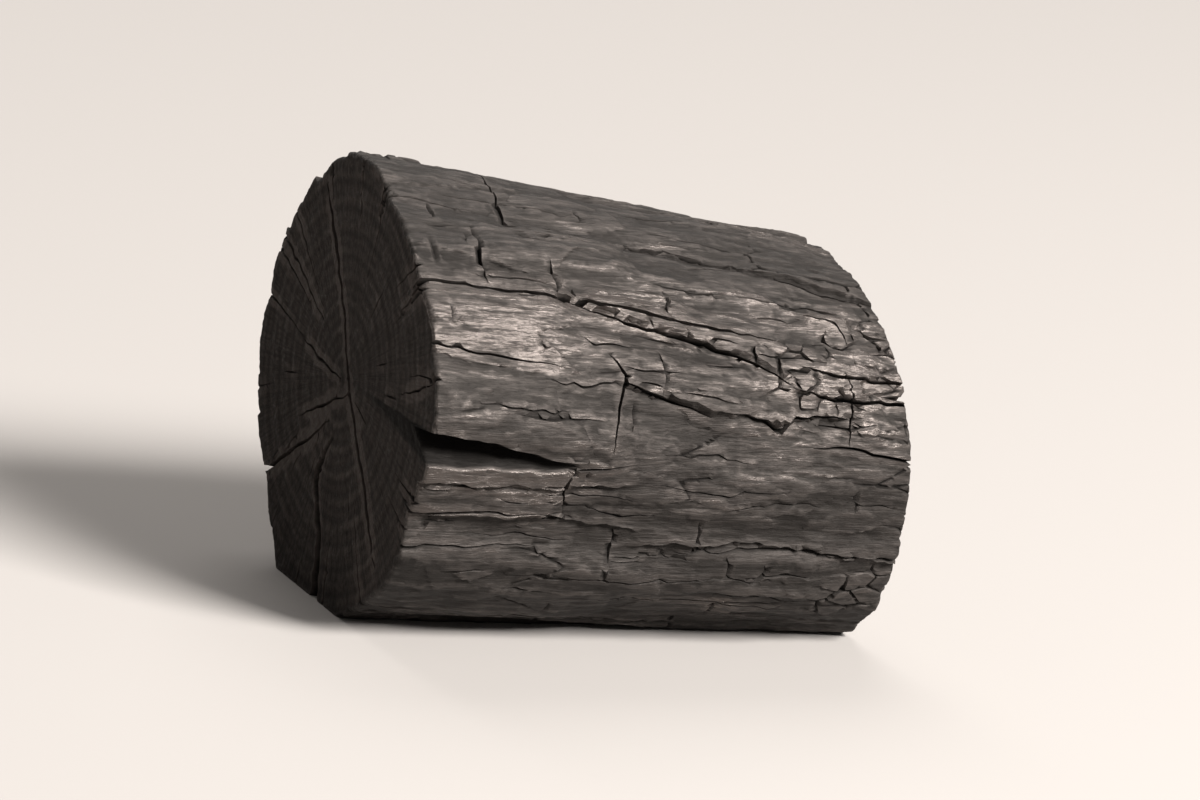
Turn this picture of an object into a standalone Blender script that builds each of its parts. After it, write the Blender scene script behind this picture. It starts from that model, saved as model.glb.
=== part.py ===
"""A lump of charcoal: a short log, sawn square, charred whole and split by drying.

The log lies along X with its larger sawn end at -X and its pith near the XZ plane. The ground is z = 0, and
the origin is in the middle of the footprint. An angle round the log counts from the front (-Y) up over the
top (+Z), so the underside is at 270 degrees. A distance along the log counts from the larger end.
"""

import math

import bmesh
import bpy
import numpy as np
from mathutils import Vector

MM = 0.001

# Driving dimensions, in metres
LENGTH = 78 * MM
NEAR_PITH_HEIGHT = 31.4 * MM
FAR_PITH_HEIGHT = 26.4 * MM
PITH_SET_BACK = 2.2 * MM
RIM_WEAR = 0.7 * MM
FACE_DISH = 0.5 * MM
FAR_SLANT = 6.5 * MM
FAR_SLANT_ANGLE = 100
FAR_CENTRE_SLANT = 2.6 * MM
NEAR_PITH = Vector((-LENGTH / 2, PITH_SET_BACK, NEAR_PITH_HEIGHT))
FAR_PITH = Vector((LENGTH / 2 - FAR_CENTRE_SLANT, PITH_SET_BACK, FAR_PITH_HEIGHT))
GROWTH_RING = 3.6 * MM
GROWTH_RING_RELIEF = 0.16 * MM
LEDGE_STEP = 0.8 * MM
LEDGE_FADE = 4 * MM
BLOCKS_ANGLE = 24
BLOCKS_PLACE = 68 * MM
BLOCKS_HALF_WIDTH = 15 * MM
BLOCKS_HALF_LENGTH = 13 * MM
BLOCK_LENGTH = 8.5 * MM
BLOCK_WIDTH = 7 * MM
BLOCK_SKEW = 4 * MM
BLOCK_RELIEF = 0.4 * MM
WEDGE_CLEARANCE = 1.6 * MM
WEDGE_TIP_WIDTH = 0.2
TIP_CLEARANCE = 0.4 * MM
DEGREE_ARC = 0.506 * MM

# How finely the log is divided
STEPS_AROUND = 128
STEPS_ALONG = 25
FACE_RINGS = ((0.88, 128), (0.68, 64), (0.46, 32), (0.22, 16))

# Outlines of the two ends: degrees round the log and millimetres from the pith
NEAR_OUTLINE = (
    (8, 33.0), (24, 31.7), (49, 29.0), (69, 28.3), (88, 30.6), (112, 30.7), (132, 29.4), (167, 28.4),
    (197, 29.6), (223, 28.4), (241, 31.2), (251, 33.9), (260, 32.5), (270, 32.0), (280, 32.5), (289, 33.6),
    (303, 32.8), (326, 33.8), (339, 31.6), (352, 32.6),
)
FAR_OUTLINE = (
    (0, 27.0), (26, 27.4), (50, 26.6), (72, 25.9), (92, 26.5), (118, 27.0), (143, 26.3), (173, 27.2),
    (198, 26.1), (223, 27.2), (246, 29.6), (257, 27.7), (270, 27.0), (281, 27.5), (292, 29.1), (312, 28.8),
    (328, 28.2), (345, 27.2),
)

# Long low waves of the grain: how many round the log, height in millimetres, turn and drift in degrees
GRAIN_WAVES = (
    (7, 0.26, 20, 60), (12, 0.24, 75, -80), (19, 0.24, 140, 95), (29, 0.24, 10, -110), (37, 0.18, 200, 70),
)

# Steps where a layer of wood has flaked off below a line: the line, its drop and its reach in millimetres
LEDGES = (
    (((45, 19), (36, 39), (32, 51), (26, 58)), 0.9, 5),
    (((20, 28), (16, 43), (14, 54), (19, 70)), 1.2, 6),
    (((-10, 0), (-9, 22), (-6, 34)), 0.9, 4),
    (((70, 32), (67, 50), (59, 78)), 0.8, 5),
    (((-20, 0), (-18, 22), (-21, 36)), 0.9, 4),
    (((-25, 34), (-22, 55), (-26, 78)), 0.9, 5),
    (((103, 30), (99, 54), (104, 78)), 0.8, 6),
    (((128, 0), (124, 30), (131, 60), (126, 78)), 1.1, 7),
    (((150, 0), (154, 22), (149, 44)), 0.9, 5),
    (((176, 18), (181, 48), (174, 78)), 1.3, 6),
    (((208, 0), (212, 38), (206, 66)), 1.1, 7),
    (((236, 24), (232, 52), (238, 78)), 0.9, 5),
)

# Plates that stand proud where the wood round them has flaked: angle and half width in degrees, then place
# along the log, half length and height in millimetres
PLATES = (
    (40, 5, 38, 20, 0.5), (46, 4, 67, 4.5, 0.5), (60, 8, 22, 11, 0.4), (8, 7, 15, 13, 0.5),
    (-15, 4.5, 11, 11, 0.5), (22, 6, 47, 6, 0.4), (-32, 7, 55, 12, 0.6), (84, 9, 60, 13, 0.5),
    (112, 8, 14, 12, 0.6), (141, 9, 62, 9, 0.7), (140, 8, 38, 10, 0.4), (168, 8, 12, 9, 0.6),
    (190, 9, 40, 13, 0.6), (196, 8, 68, 8, 0.5), (222, 8, 48, 11, 0.7), (240, 7, 12, 10, 0.5),
    (312, 8, 24, 12, 0.6), (318, 7, 62, 10, 0.5),
)

# Drying cracks in the side: a name, the route, then width, depth and lean of the deep edge in millimetres.
# A point of a route gives degrees round the log, millimetres along it and the share of the full size there.
SIDE_CRACKS = (
    ("long_check", ((43, -1, 1), (43, 10, 0.8), (42, 27, 1), (39, 45, 0.9), (38, 58, 0)), 0.9, 2.4, 0),
    ("second_check", ((43, 20, 0), (37, 31, 0.9), (34, 44, 1), (30, 52, 0.8), (24, 58, 0)), 0.9, 2.0, 0.3),
    ("wide_check", ((-2, -2, 1), (-2, 5, 0.95), (-2.5, 13, 0.6), (-3, 25, 0)), 4.4, 6.0, 1.6),
    ("wide_check_tail", ((-3, 20, 0), (-3, 25, 1), (-1, 33, 0)), 0.7, 1.2, 0),
    ("tail_cross_check", ((-2, 23, 0), (-8, 22, 1), (-18, 23, 0)), 0.7, 1.2, 0),
    ("rim_check", ((-20, -1, 1), (-18, 10, 0.8), (-17, 22, 0)), 1.0, 1.8, 0.4),
    ("low_check", ((-15, 26, 0), (-17, 32, 1), (-15, 38, 0)), 0.7, 1.2, 0),
    ("cross_check", ((28, 27, 0), (22, 30, 1), (13, 29, 0.9), (1, 28, 0)), 0.8, 1.4, 0),
    ("stepped_check", ((20, 30, 0.4), (17, 36, 1), (13, 45, 0)), 0.8, 1.6, 0.2),
    ("notched_check", ((15, 46, 0), (14, 53, 0.9), (11, 55.5, 1), (16, 58, 0.8), (18, 71, 0)), 1.0, 1.9, 0.2),
    ("upper_check", ((70, 33, 0), (68, 44, 1), (65, 56, 0)), 0.8, 1.4, 0),
    ("knot_check", ((49, 62, 0), (47, 68, 1), (40, 69.5, 0)), 0.7, 1.2, 0),
    ("far_rim_check_high", ((31, 60, 0), (29, 66, 0.8), (30, 79.5, 1)), 0.9, 1.6, 0),
    ("far_rim_check_middle", ((24, 57, 0), (22, 65, 0.9), (24, 79.5, 1)), 0.9, 1.6, 0),
    ("far_rim_check_low", ((8, 60, 0), (9, 68, 0.8), (6, 79.5, 1)), 0.9, 1.5, 0),
    ("far_cross_check", ((31, 67, 0), (22, 68, 1), (9, 67, 0)), 0.8, 1.2, 0),
    ("far_front_check", ((-27, 40, 0), (-24, 58, 0.8), (-25, 79.5, 1)), 1.0, 2.4, 0.3),
    ("top_cross_check", ((68, 11, 0), (56, 10.5, 1), (44, 10.5, 0)), 0.7, 1.0, 0),
    ("rear_high_check", ((126, 5, 0), (123, 20, 0.9), (127, 38, 1), (124, 62, 0)), 1.2, 3.2, 0.4),
    ("rear_far_check", ((170, 80, 1), (168, 62, 0.8), (163, 34, 0)), 1.6, 3.6, 0.4),
    ("rear_cross_check", ((146, 50, 0), (157, 48, 1), (166, 51, 0)), 0.8, 1.4, 0),
    ("rear_low_check", ((202, 14, 0), (205, 30, 1), (201, 58, 0)), 1.0, 2.4, 0),
    ("rear_rim_check", ((223, -1, 1), (221, 12, 0.7), (225, 26, 0)), 1.0, 2.4, 0),
    ("underside_check", ((266, 44, 0), (268, 58, 0.9), (266, 80, 1)), 1.2, 2.6, 0),
    ("underside_front_check", ((300, 12, 0), (303, 28, 1), (299, 50, 0)), 1.0, 2.2, 0.3),
)

# Cracks in the near sawn face: each point gives millimetres to the front, millimetres up and the share
NEAR_CRACKS = (
    ("heart_check", ((-13.6, 23.7, 0.1), (-9, 17.5, 1), (-3.1, 9, 0.6), (3, -1.7, 0.6), (14.7, -14.6, 0.9),
                     (21.2, -22.3, 0)), 1.4, 5.0),
    ("rear_high_ray", ((-28, 14.2, 1), (-18.3, 10, 0.7), (-7.5, 4.7, 0)), 0.9, 2.4),
    ("rear_ray", ((-15.2, 1.3, 0), (-8.6, 0, 1), (-0.6, -0.6, 0.2)), 0.8, 2.0),
    ("rear_low_ray", ((-1.2, -6.2, 0), (-9.7, -12.5, 0.7), (-23, -21.4, 1)), 1.1, 3.0),
    ("inner_ray", ((2.6, -1.8, 0.2), (-5.5, -6, 1), (-12.9, -9.6, 0)), 0.8, 1.6),
    ("foot_ray", ((0.3, -7.5, 0), (-4, -15.5, 0.45), (0.2, -22, 0.5), (3, -35, 1)), 2.6, 3.6),
    ("top_ray", ((4.6, 23.5, 0), (5.8, 33, 1)), 0.9, 1.8),
    ("front_high_ray", ((15.5, 13, 0), (19, 16.5, 0.6), (24, 22.2, 1)), 0.9, 2.4),
    ("front_ray", ((20, 3, 0), (26, 5.5, 1), (31, 8, 0)), 0.7, 1.4),
)

# The star of cracks in the far sawn face: degrees, reach as a share of the radius, then width and depth in
# millimetres. Its middle is given in millimetres to the front of the pith and over it.
FAR_STAR_CENTRE = (2.0, 1.5)
FAR_STAR = (
    (24, 1.12, 1.1, 3.4), (77, 0.7, 0.9, 2.4), (131, 1.12, 1.0, 3.0), (161, 1.12, 1.3, 3.8),
    (231, 0.8, 0.9, 2.4), (268, 1.12, 1.1, 3.0), (322, 0.75, 0.9, 2.6),
)

STAR_STATIONS = (0.06, 0.45, 1.0)
STAR_SIZES = (0.35, 0.8)

CHARCOAL_COLOUR = (0.030, 0.028, 0.027, 1.0)
CHARCOAL_ROUGHNESS = 0.62


def clear_scene():
    """Removes whatever the scene holds."""
    for thing in list(bpy.data.objects):
        bpy.data.objects.remove(thing, do_unlink=True)


def outline_radius(outline, angle):
    """Radius at an angle: the outline's points, joined by curves that run level through each of them."""
    degrees = np.array([outline[-1][0] - 360, *(point[0] for point in outline), outline[0][0] + 360], float)
    radii = np.array([outline[-1][1], *(point[1] for point in outline), outline[0][1]], float)
    turned = np.mod(angle, 360)
    before = np.clip(np.searchsorted(degrees, turned, side="right") - 1, 0, len(degrees) - 2)
    share = (turned - degrees[before]) / (degrees[before + 1] - degrees[before])
    eased = share * share * (3 - 2 * share)
    return (radii[before] + (radii[before + 1] - radii[before]) * eased) * MM


def angle_between(angle, other):
    """The turn from one angle to another, from -180 to 180 degrees."""
    return np.mod(angle - other + 180, 360) - 180


def grain_relief(angle, share):
    """A sum of sine waves round the log, each drifting to and fro along it: ridges that follow the grain."""
    relief = np.zeros(np.broadcast(angle, share).shape)
    for count, height, turn, drift in GRAIN_WAVES:
        swing = drift * np.sin(2 * math.pi * share + math.radians(turn))
        relief += height * MM * np.sin(np.radians(count * angle + turn + swing))
    return relief


def ledge_relief(angle, along):
    """Below each ledge's line the surface drops, and comes back with distance. The line's ends fade out."""
    relief = np.zeros(np.broadcast(angle, along).shape)
    for line, drop, reach in LEDGES:
        angles = [point[0] for point in line]
        places = [point[1] * MM for point in line]
        offset = angle_between(angle, np.interp(along, places, angles)) * DEGREE_ARC
        fade_in = 1 if places[0] == 0 else np.clip((along - places[0]) / LEDGE_FADE, 0, 1)
        fade_out = 1 if places[-1] >= LENGTH else np.clip((places[-1] - along) / LEDGE_FADE, 0, 1)
        below = np.clip(-offset / LEDGE_STEP, 0, 1) * np.exp(np.minimum(offset, 0) / (reach * MM))
        relief -= drop * MM * below * fade_in * fade_out
    return relief


def plate_relief(angle, along):
    """Each plate is a low rise, flat on top and steep at its edges, from a power of the way to its middle."""
    relief = np.zeros(np.broadcast(angle, along).shape)
    for middle, half_width, place, half_length, height in PLATES:
        across = angle_between(angle, middle) / half_width
        lengthwise = (along - place * MM) / (half_length * MM)
        relief += height * MM * np.exp(-(across**8) - lengthwise**8)
    return relief


def block_relief(angle, along):
    """Small blocks near the front of the far end: two crossed sine waves, squared off, inside a soft oval."""
    across = angle_between(angle, BLOCKS_ANGLE) * DEGREE_ARC
    off_middle = (along - BLOCKS_PLACE) / BLOCKS_HALF_LENGTH
    inside = np.exp(-((across / BLOCKS_HALF_WIDTH) ** 4) - off_middle**4)
    lengthwise = np.tanh(3 * np.sin(2 * math.pi * along / BLOCK_LENGTH + across / BLOCK_SKEW))
    sideways = np.tanh(3 * np.sin(2 * math.pi * across / BLOCK_WIDTH))
    return BLOCK_RELIEF * inside * lengthwise * sideways


def end_slant(angle):
    """How far the far rim falls short of the full length: most at the top, nothing underneath."""
    facing = (1 + np.cos(np.radians(angle - FAR_SLANT_ANGLE))) / 2
    return FAR_SLANT * facing**1.5


def pith_height(share):
    """Height of the pith. The outlines reach a little deeper than it, so the ground cuts a level foot."""
    return NEAR_PITH_HEIGHT * (1 - share) + FAR_PITH_HEIGHT * share


def side_places(angle, along):
    """Places on the log's side, as an array with x, y and z last."""
    share = along / LENGTH
    radius = outline_radius(NEAR_OUTLINE, angle) * (1 - share) + outline_radius(FAR_OUTLINE, angle) * share
    radius = radius + grain_relief(angle, share) + ledge_relief(angle, along)
    radius = radius + plate_relief(angle, along) + block_relief(angle, along)
    turn = np.radians(angle)
    x = along - end_slant(angle) * share**3 - LENGTH / 2
    y = PITH_SET_BACK - radius * np.cos(turn)
    z = np.maximum(pith_height(share) + radius * np.sin(turn), 0)
    return np.stack(np.broadcast_arrays(x, y, z), axis=-1)


def side_place(angle, along):
    """One place on the log's side. Past an end it runs straight on, so a crack can leave over the rim."""
    within = min(max(along, 0), LENGTH)
    place = side_places(np.array(float(angle)), np.array(within))
    return Vector(place) + Vector((along - within, 0, 0))


def ring_angles(count):
    return np.arange(count) * 360 / count


def face_ring(rim_pith, rim_place, share, angle, inward):
    """A ring of a sawn face: the rim drawn in to a share of its radius, with the wave of the growth rings."""
    flat = rim_pith + (rim_place - rim_pith) * share
    radius = np.linalg.norm((rim_place - rim_pith)[:, 1:], axis=1) * share
    wave = GROWTH_RING_RELIEF * np.cos(2 * math.pi * radius / GROWTH_RING + np.radians(2 * angle))
    flat[:, 0] += inward * (FACE_DISH * (1 - share**2) + wave)
    return flat


def join_rings(mesh, outer, inner):
    """Faces between two rings, where the inner one has as many points as the outer or half as many."""
    ratio = len(outer) // len(inner)
    for i in range(len(inner)):
        inner_here = inner[i]
        inner_next = inner[(i + 1) % len(inner)]
        outer_here = outer[i * ratio]
        outer_next = outer[(i + 1) * ratio % len(outer)]
        if ratio == 1:
            mesh.faces.new((outer_here, outer_next, inner_next, inner_here))
            continue
        outer_between = outer[i * ratio + 1]
        mesh.faces.new((outer_here, outer_between, inner_here))
        mesh.faces.new((outer_between, outer_next, inner_next))
        mesh.faces.new((outer_between, inner_next, inner_here))


def close_end(mesh, rim, pith, inward):
    """Closes one end of the log with rings of faces that run in from the rim to the pith."""
    outer = rim
    rim_places = np.array([vertex.co for vertex in rim])
    centre = np.array(pith)
    for share, count in FACE_RINGS:
        keep = rim_places[:: len(rim) // count]
        places = face_ring(centre, keep, share, ring_angles(count), inward)
        inner = [mesh.verts.new(place) for place in places]
        join_rings(mesh, outer, inner)
        outer = inner
    middle = mesh.verts.new(pith + Vector((inward * FACE_DISH, 0, 0)))
    for i, vertex in enumerate(outer):
        mesh.faces.new((vertex, outer[(i + 1) % len(outer)], middle))


def log_mesh():
    """The log with no cracks yet: rings of points along its side, worn rims, and the two sawn faces."""
    mesh = bmesh.new()
    angles = ring_angles(STEPS_AROUND)
    rings = []
    stations = [0.0, *np.linspace(RIM_WEAR, LENGTH - RIM_WEAR, STEPS_ALONG + 1), LENGTH]
    for along in stations:
        places = side_places(angles, np.full(STEPS_AROUND, along))
        if along in (0.0, LENGTH):
            pith = np.array((0, PITH_SET_BACK, pith_height(along / LENGTH)))
            reach = np.linalg.norm((places - pith)[:, 1:], axis=1)
            drawn_in = (1 - RIM_WEAR / reach)[:, None]
            places[:, 1:] = pith[1:] + (places[:, 1:] - pith[1:]) * drawn_in
        rings.append([mesh.verts.new(place) for place in places])
    for ring, following in zip(rings, rings[1:]):
        join_rings(mesh, ring, following)
    close_end(mesh, rings[0], NEAR_PITH, 1)
    close_end(mesh, rings[-1], FAR_PITH, -1)
    bmesh.ops.recalc_face_normals(mesh, faces=mesh.faces)
    return mesh


def object_from(name, mesh):
    data = bpy.data.meshes.new(name)
    mesh.to_mesh(data)
    mesh.free()
    made = bpy.data.objects.new(name, data)
    bpy.context.scene.collection.objects.link(made)
    return made


def wedge_cutter(name, places, outwards, shares, width, depth, lean=0.0):
    """A closed wedge along a route. At each place two corners stand over the surface and a sharp edge lies
    under it. Where the share is nothing the edge comes up out of the surface, and the crack runs to a tip."""
    mesh = bmesh.new()
    rows = []
    for i, place in enumerate(places):
        ahead = places[min(i + 1, len(places) - 1)] - places[max(i - 1, 0)]
        sideways = outwards[i].cross(ahead).normalized()
        full_width = width * (depth + WEDGE_CLEARANCE) / depth
        half = sideways * (full_width * (WEDGE_TIP_WIDTH + (1 - WEDGE_TIP_WIDTH) * shares[i]) / 2)
        top = place + outwards[i] * WEDGE_CLEARANCE
        deep = (depth + TIP_CLEARANCE) * shares[i] - TIP_CLEARANCE
        edge = place - outwards[i] * deep + sideways * (lean * shares[i])
        rows.append([mesh.verts.new(corner) for corner in (top + half, top - half, edge)])
    for row, following in zip(rows, rows[1:]):
        for corner in range(3):
            after = (corner + 1) % 3
            mesh.faces.new((row[corner], row[after], following[after], following[corner]))
    mesh.faces.new(rows[0])
    mesh.faces.new(rows[-1])
    bmesh.ops.triangulate(mesh, faces=mesh.faces)
    bmesh.ops.recalc_face_normals(mesh, faces=mesh.faces)
    cutter = object_from(name, mesh)
    cutter.hide_render = True
    cutter.display_type = "WIRE"
    return cutter


def side_cutters():
    for name, route, width, depth, lean in SIDE_CRACKS:
        places = [side_place(angle, along * MM) for angle, along, share in route]
        turns = [math.radians(angle) for angle, along, share in route]
        outwards = [Vector((0, -math.cos(turn), math.sin(turn))) for turn in turns]
        shares = [share for angle, along, share in route]
        yield wedge_cutter(name, places, outwards, shares, width * MM, depth * MM, lean * MM)


def near_cutters():
    outward = Vector((-1, 0, 0))
    for name, route, width, depth in NEAR_CRACKS:
        places = [NEAR_PITH + Vector((0, -front * MM, up * MM)) for front, up, share in route]
        shares = [share for front, up, share in route]
        yield wedge_cutter(name, places, [outward] * len(route), shares, width * MM, depth * MM)


def far_cutters():
    """Rays from near the pith of the far face; those that reach past the rim open onto the side."""
    front, up = FAR_STAR_CENTRE
    heart = FAR_PITH + Vector((0, -front * MM, up * MM))
    outward = Vector((1, 0, 0))
    for angle, reach, width, depth in FAR_STAR:
        turn = math.radians(angle)
        radius = float(outline_radius(FAR_OUTLINE, np.array(float(angle)))) * reach
        tip_slant = (FAR_CENTRE_SLANT - float(end_slant(angle))) * reach
        tip = heart + Vector((tip_slant, -math.cos(turn) * radius, math.sin(turn) * radius))
        places = [heart.lerp(tip, share) for share in STAR_STATIONS]
        shares = [*STAR_SIZES, 1.0 if reach > 1 else 0.0]
        yield wedge_cutter(f"far_ray_{angle}", places, [outward] * 3, shares, width * MM, depth * MM)


def charcoal():
    material = bpy.data.materials.new("charcoal")
    material.use_nodes = True
    shader = material.node_tree.nodes["Principled BSDF"]
    shader.inputs["Base Color"].default_value = CHARCOAL_COLOUR
    shader.inputs["Roughness"].default_value = CHARCOAL_ROUGHNESS
    shader.inputs["Metallic"].default_value = 0.0
    return material


def charcoal_lump():
    """The whole lump: the log with every crack cut into it, one solid."""
    lump = object_from("charcoal_lump", log_mesh())
    lump.data.materials.append(charcoal())
    for cutter in [*side_cutters(), *near_cutters(), *far_cutters()]:
        cut = lump.modifiers.new(cutter.name, "BOOLEAN")
        cut.operation = "DIFFERENCE"
        cut.solver = "EXACT"
        cut.object = cutter
    return lump


clear_scene()
charcoal_lump()
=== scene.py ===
# %% [markdown]
# # A lump of charcoal
#
# The real thing is a short log of round wood, sawn square at both ends and charred without air. Charring
# shrinks it, so it splits: long checks follow the grain, short cracks cross it, and small blocks break up
# near one end. The sawn ends show growth rings and cracks that run out from the pith. The colour is almost
# black, yet the side shines like pencil lead where light glances along the fibres.
#
# The frame holds this lump as one plain faceted solid. The first step loads it. The finer surface that is
# made here has to keep to that solid's box.

# %% The frame
import math

import bpy
import numpy as np
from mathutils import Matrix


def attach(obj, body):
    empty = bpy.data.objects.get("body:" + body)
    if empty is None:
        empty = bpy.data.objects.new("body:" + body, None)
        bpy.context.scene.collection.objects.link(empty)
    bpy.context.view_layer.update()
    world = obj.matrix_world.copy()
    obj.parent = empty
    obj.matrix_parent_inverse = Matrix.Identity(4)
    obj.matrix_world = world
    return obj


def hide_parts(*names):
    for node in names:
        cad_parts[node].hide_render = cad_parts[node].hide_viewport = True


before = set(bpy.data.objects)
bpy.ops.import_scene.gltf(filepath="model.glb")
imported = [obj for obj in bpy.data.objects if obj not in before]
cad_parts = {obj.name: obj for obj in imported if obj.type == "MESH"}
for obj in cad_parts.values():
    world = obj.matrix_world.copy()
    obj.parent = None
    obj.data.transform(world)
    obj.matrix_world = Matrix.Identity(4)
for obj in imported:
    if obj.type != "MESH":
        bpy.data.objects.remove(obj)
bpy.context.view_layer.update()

MM = 0.001
TINY = 1e-9

# %% [markdown]
# ## The log's own sizes
#
# The larger sawn end is at -X, the smaller at +X. A place on the side has two numbers: the angle round the
# log, counted from the front (-Y) up over the top (+Z), and the distance along it from the larger end. The
# two end outlines are a handful of radii each. A lathe would give a perfect round, so the radius is instead
# a function of the angle that runs smoothly through those radii.

# %% Sizes and end outlines
LENGTH = 78 * MM
NEAR_PITH_HEIGHT = 31.4 * MM
FAR_PITH_HEIGHT = 26.4 * MM
PITH_SET_BACK = 2.2 * MM
RIM_WEAR = 0.7 * MM
FACE_DISH = 0.5 * MM
FAR_SLANT = 6.5 * MM
FAR_SLANT_ANGLE = 100
FAR_CENTRE_SLANT = 2.6 * MM
DEGREE_ARC = 0.506 * MM
NEAR_PITH = (-LENGTH / 2, PITH_SET_BACK, NEAR_PITH_HEIGHT)
FAR_PITH = (LENGTH / 2 - FAR_CENTRE_SLANT, PITH_SET_BACK, FAR_PITH_HEIGHT)

# Degrees round the log and millimetres from the pith
NEAR_OUTLINE = (
    (8, 33.0), (24, 31.7), (49, 29.0), (69, 28.3), (88, 30.6), (112, 30.7), (132, 29.4), (167, 28.4),
    (197, 29.6), (223, 28.4), (241, 31.2), (251, 33.9), (260, 32.5), (270, 32.0), (280, 32.5), (289, 33.6),
    (303, 32.8), (326, 33.8), (339, 31.6), (352, 32.6),
)
FAR_OUTLINE = (
    (0, 27.0), (26, 27.4), (50, 26.6), (72, 25.9), (92, 26.5), (118, 27.0), (143, 26.3), (173, 27.2),
    (198, 26.1), (223, 27.2), (246, 29.6), (257, 27.7), (270, 27.0), (281, 27.5), (292, 29.1), (312, 28.8),
    (328, 28.2), (345, 27.2),
)


def outline_radius(outline, angle):
    """Radius at an angle: between two listed radii the share s of the way is eased to s * s * (3 - 2 s)."""
    degrees = np.array([outline[-1][0] - 360, *(point[0] for point in outline), outline[0][0] + 360], float)
    radii = np.array([outline[-1][1], *(point[1] for point in outline), outline[0][1]], float)
    turned = np.mod(angle, 360)
    before = np.clip(np.searchsorted(degrees, turned, side="right") - 1, 0, len(degrees) - 2)
    share = (turned - degrees[before]) / (degrees[before + 1] - degrees[before])
    eased = share * share * (3 - 2 * share)
    return (radii[before] + (radii[before + 1] - radii[before]) * eased) * MM


def angle_between(angle, other):
    """The turn from one angle to another, from -180 to 180 degrees."""
    return np.mod(angle - other + 180, 360) - 180


def pith_height(share):
    """Height of the pith: it falls in a straight line from the larger end to the smaller."""
    return NEAR_PITH_HEIGHT * (1 - share) + FAR_PITH_HEIGHT * share


def end_slant(angle):
    """How far the far rim falls short of the full length: a power of a cosine, most at the top."""
    return FAR_SLANT * ((1 + np.cos(np.radians(angle - FAR_SLANT_ANGLE))) / 2) ** 1.5


print("largest and smallest near radius, in mm:", *(f(r for _, r in NEAR_OUTLINE) for f in (max, min)))

# %% [markdown]
# ## Ridges, ledges and plates
#
# From a step away the side shows ridges that follow the grain, ledges where a layer of wood has flaked off,
# and plates that were left standing. These are the same forms as in the solid part, with its finest waves
# lower, because fibres take their place. They could be sculpted by hand, but written as sums of waves and
# steps they stay exact and can be tuned.

# %% The large relief of the side
# Waves round the log, height in mm, where they start and how far they drift, in degrees
GRAIN_WAVES = (
    (7, 0.26, 20, 60), (12, 0.2, 75, -80), (19, 0.14, 140, 95), (29, 0.12, 10, -110), (37, 0.08, 200, 70),
)
# Line of degrees and millimetres along, then the drop and its reach in mm
LEDGES = (
    (((45, 19), (36, 39), (32, 51), (26, 58)), 0.9, 5),
    (((20, 28), (16, 43), (14, 54), (19, 70)), 1.2, 6),
    (((-10, 0), (-9, 22), (-6, 34)), 0.9, 4),
    (((70, 32), (67, 50), (59, 78)), 0.8, 5),
    (((-20, 0), (-18, 22), (-21, 36)), 0.9, 4),
    (((-25, 34), (-22, 55), (-26, 78)), 0.9, 5),
    (((103, 30), (99, 54), (104, 78)), 0.8, 6),
    (((128, 0), (124, 30), (131, 60), (126, 78)), 1.1, 7),
    (((150, 0), (154, 22), (149, 44)), 0.9, 5),
    (((176, 18), (181, 48), (174, 78)), 1.3, 6),
    (((208, 0), (212, 38), (206, 66)), 1.1, 7),
    (((236, 24), (232, 52), (238, 78)), 0.9, 5),
)
# Degrees, half the turn, place in mm, half the length and height
PLATES = (
    (40, 5, 38, 20, 0.5), (46, 4, 67, 4.5, 0.5), (60, 8, 22, 11, 0.4), (8, 7, 15, 13, 0.5),
    (-15, 4.5, 11, 11, 0.5), (22, 6, 47, 6, 0.4), (-32, 7, 55, 12, 0.6), (84, 9, 60, 13, 0.5),
    (112, 8, 14, 12, 0.6), (141, 9, 62, 9, 0.7), (140, 8, 38, 10, 0.4), (168, 8, 12, 9, 0.6),
    (190, 9, 40, 13, 0.6), (196, 8, 68, 8, 0.5), (222, 8, 48, 11, 0.7), (240, 7, 12, 10, 0.5),
    (312, 8, 24, 12, 0.6), (318, 7, 62, 10, 0.5),
)
LEDGE_STEP = 0.35 * MM
LEDGE_FADE = 4 * MM
LEDGE_WANDER = 0.45 * MM
# Length in mm and share of the wander
LEDGE_WAVES = ((11, 0.5), (4.3, 0.25), (1.9, 0.12))


def grain_relief(angle, share):
    """A sum of sine waves round the log, each drifting to and fro along it."""
    relief = np.zeros(angle.shape)
    for count, height, turn, drift in GRAIN_WAVES:
        swing = drift * np.sin(2 * math.pi * share + math.radians(turn))
        relief += height * MM * np.sin(np.radians(count * angle + turn + swing))
    return relief


def ledge_offset(line, angle, along):
    """Distance above a ledge's line in metres. The line wanders by three sine waves of its own."""
    angles = [point[0] for point in line]
    places = [point[1] * MM for point in line]
    wander = np.zeros(angle.shape)
    for length_mm, size in LEDGE_WAVES:
        wander += size * np.sin(2 * math.pi * along / (length_mm * MM) + angles[0])
    return angle_between(angle, np.interp(along, places, angles)) * DEGREE_ARC + LEDGE_WANDER * wander


def ledge_relief(angle, along):
    """Below each ledge's line the surface drops, and comes back as a falling exponential of the distance."""
    relief = np.zeros(angle.shape)
    for line, drop, reach in LEDGES:
        offset = ledge_offset(line, angle, along)
        first = line[0][1] * MM
        last = line[-1][1] * MM
        fade_in = 1 if first == 0 else np.clip((along - first) / LEDGE_FADE, 0, 1)
        fade_out = 1 if last >= LENGTH else np.clip((last - along) / LEDGE_FADE, 0, 1)
        below = np.clip(-offset / LEDGE_STEP, 0, 1) * np.exp(np.minimum(offset, 0) / (reach * MM))
        relief -= drop * MM * below * fade_in * fade_out
    return relief


def plate_relief(angle, along):
    """Each plate is a low rise: its height times exp(-(x to the 8th) - (y to the 8th)) about its middle."""
    relief = np.zeros(angle.shape)
    for middle, half_width, place, half_length, height in PLATES:
        across = angle_between(angle, middle) / half_width
        lengthwise = (along - place * MM) / (half_length * MM)
        relief += height * MM * np.exp(-(across**8) - lengthwise**8)
    return relief

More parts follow.
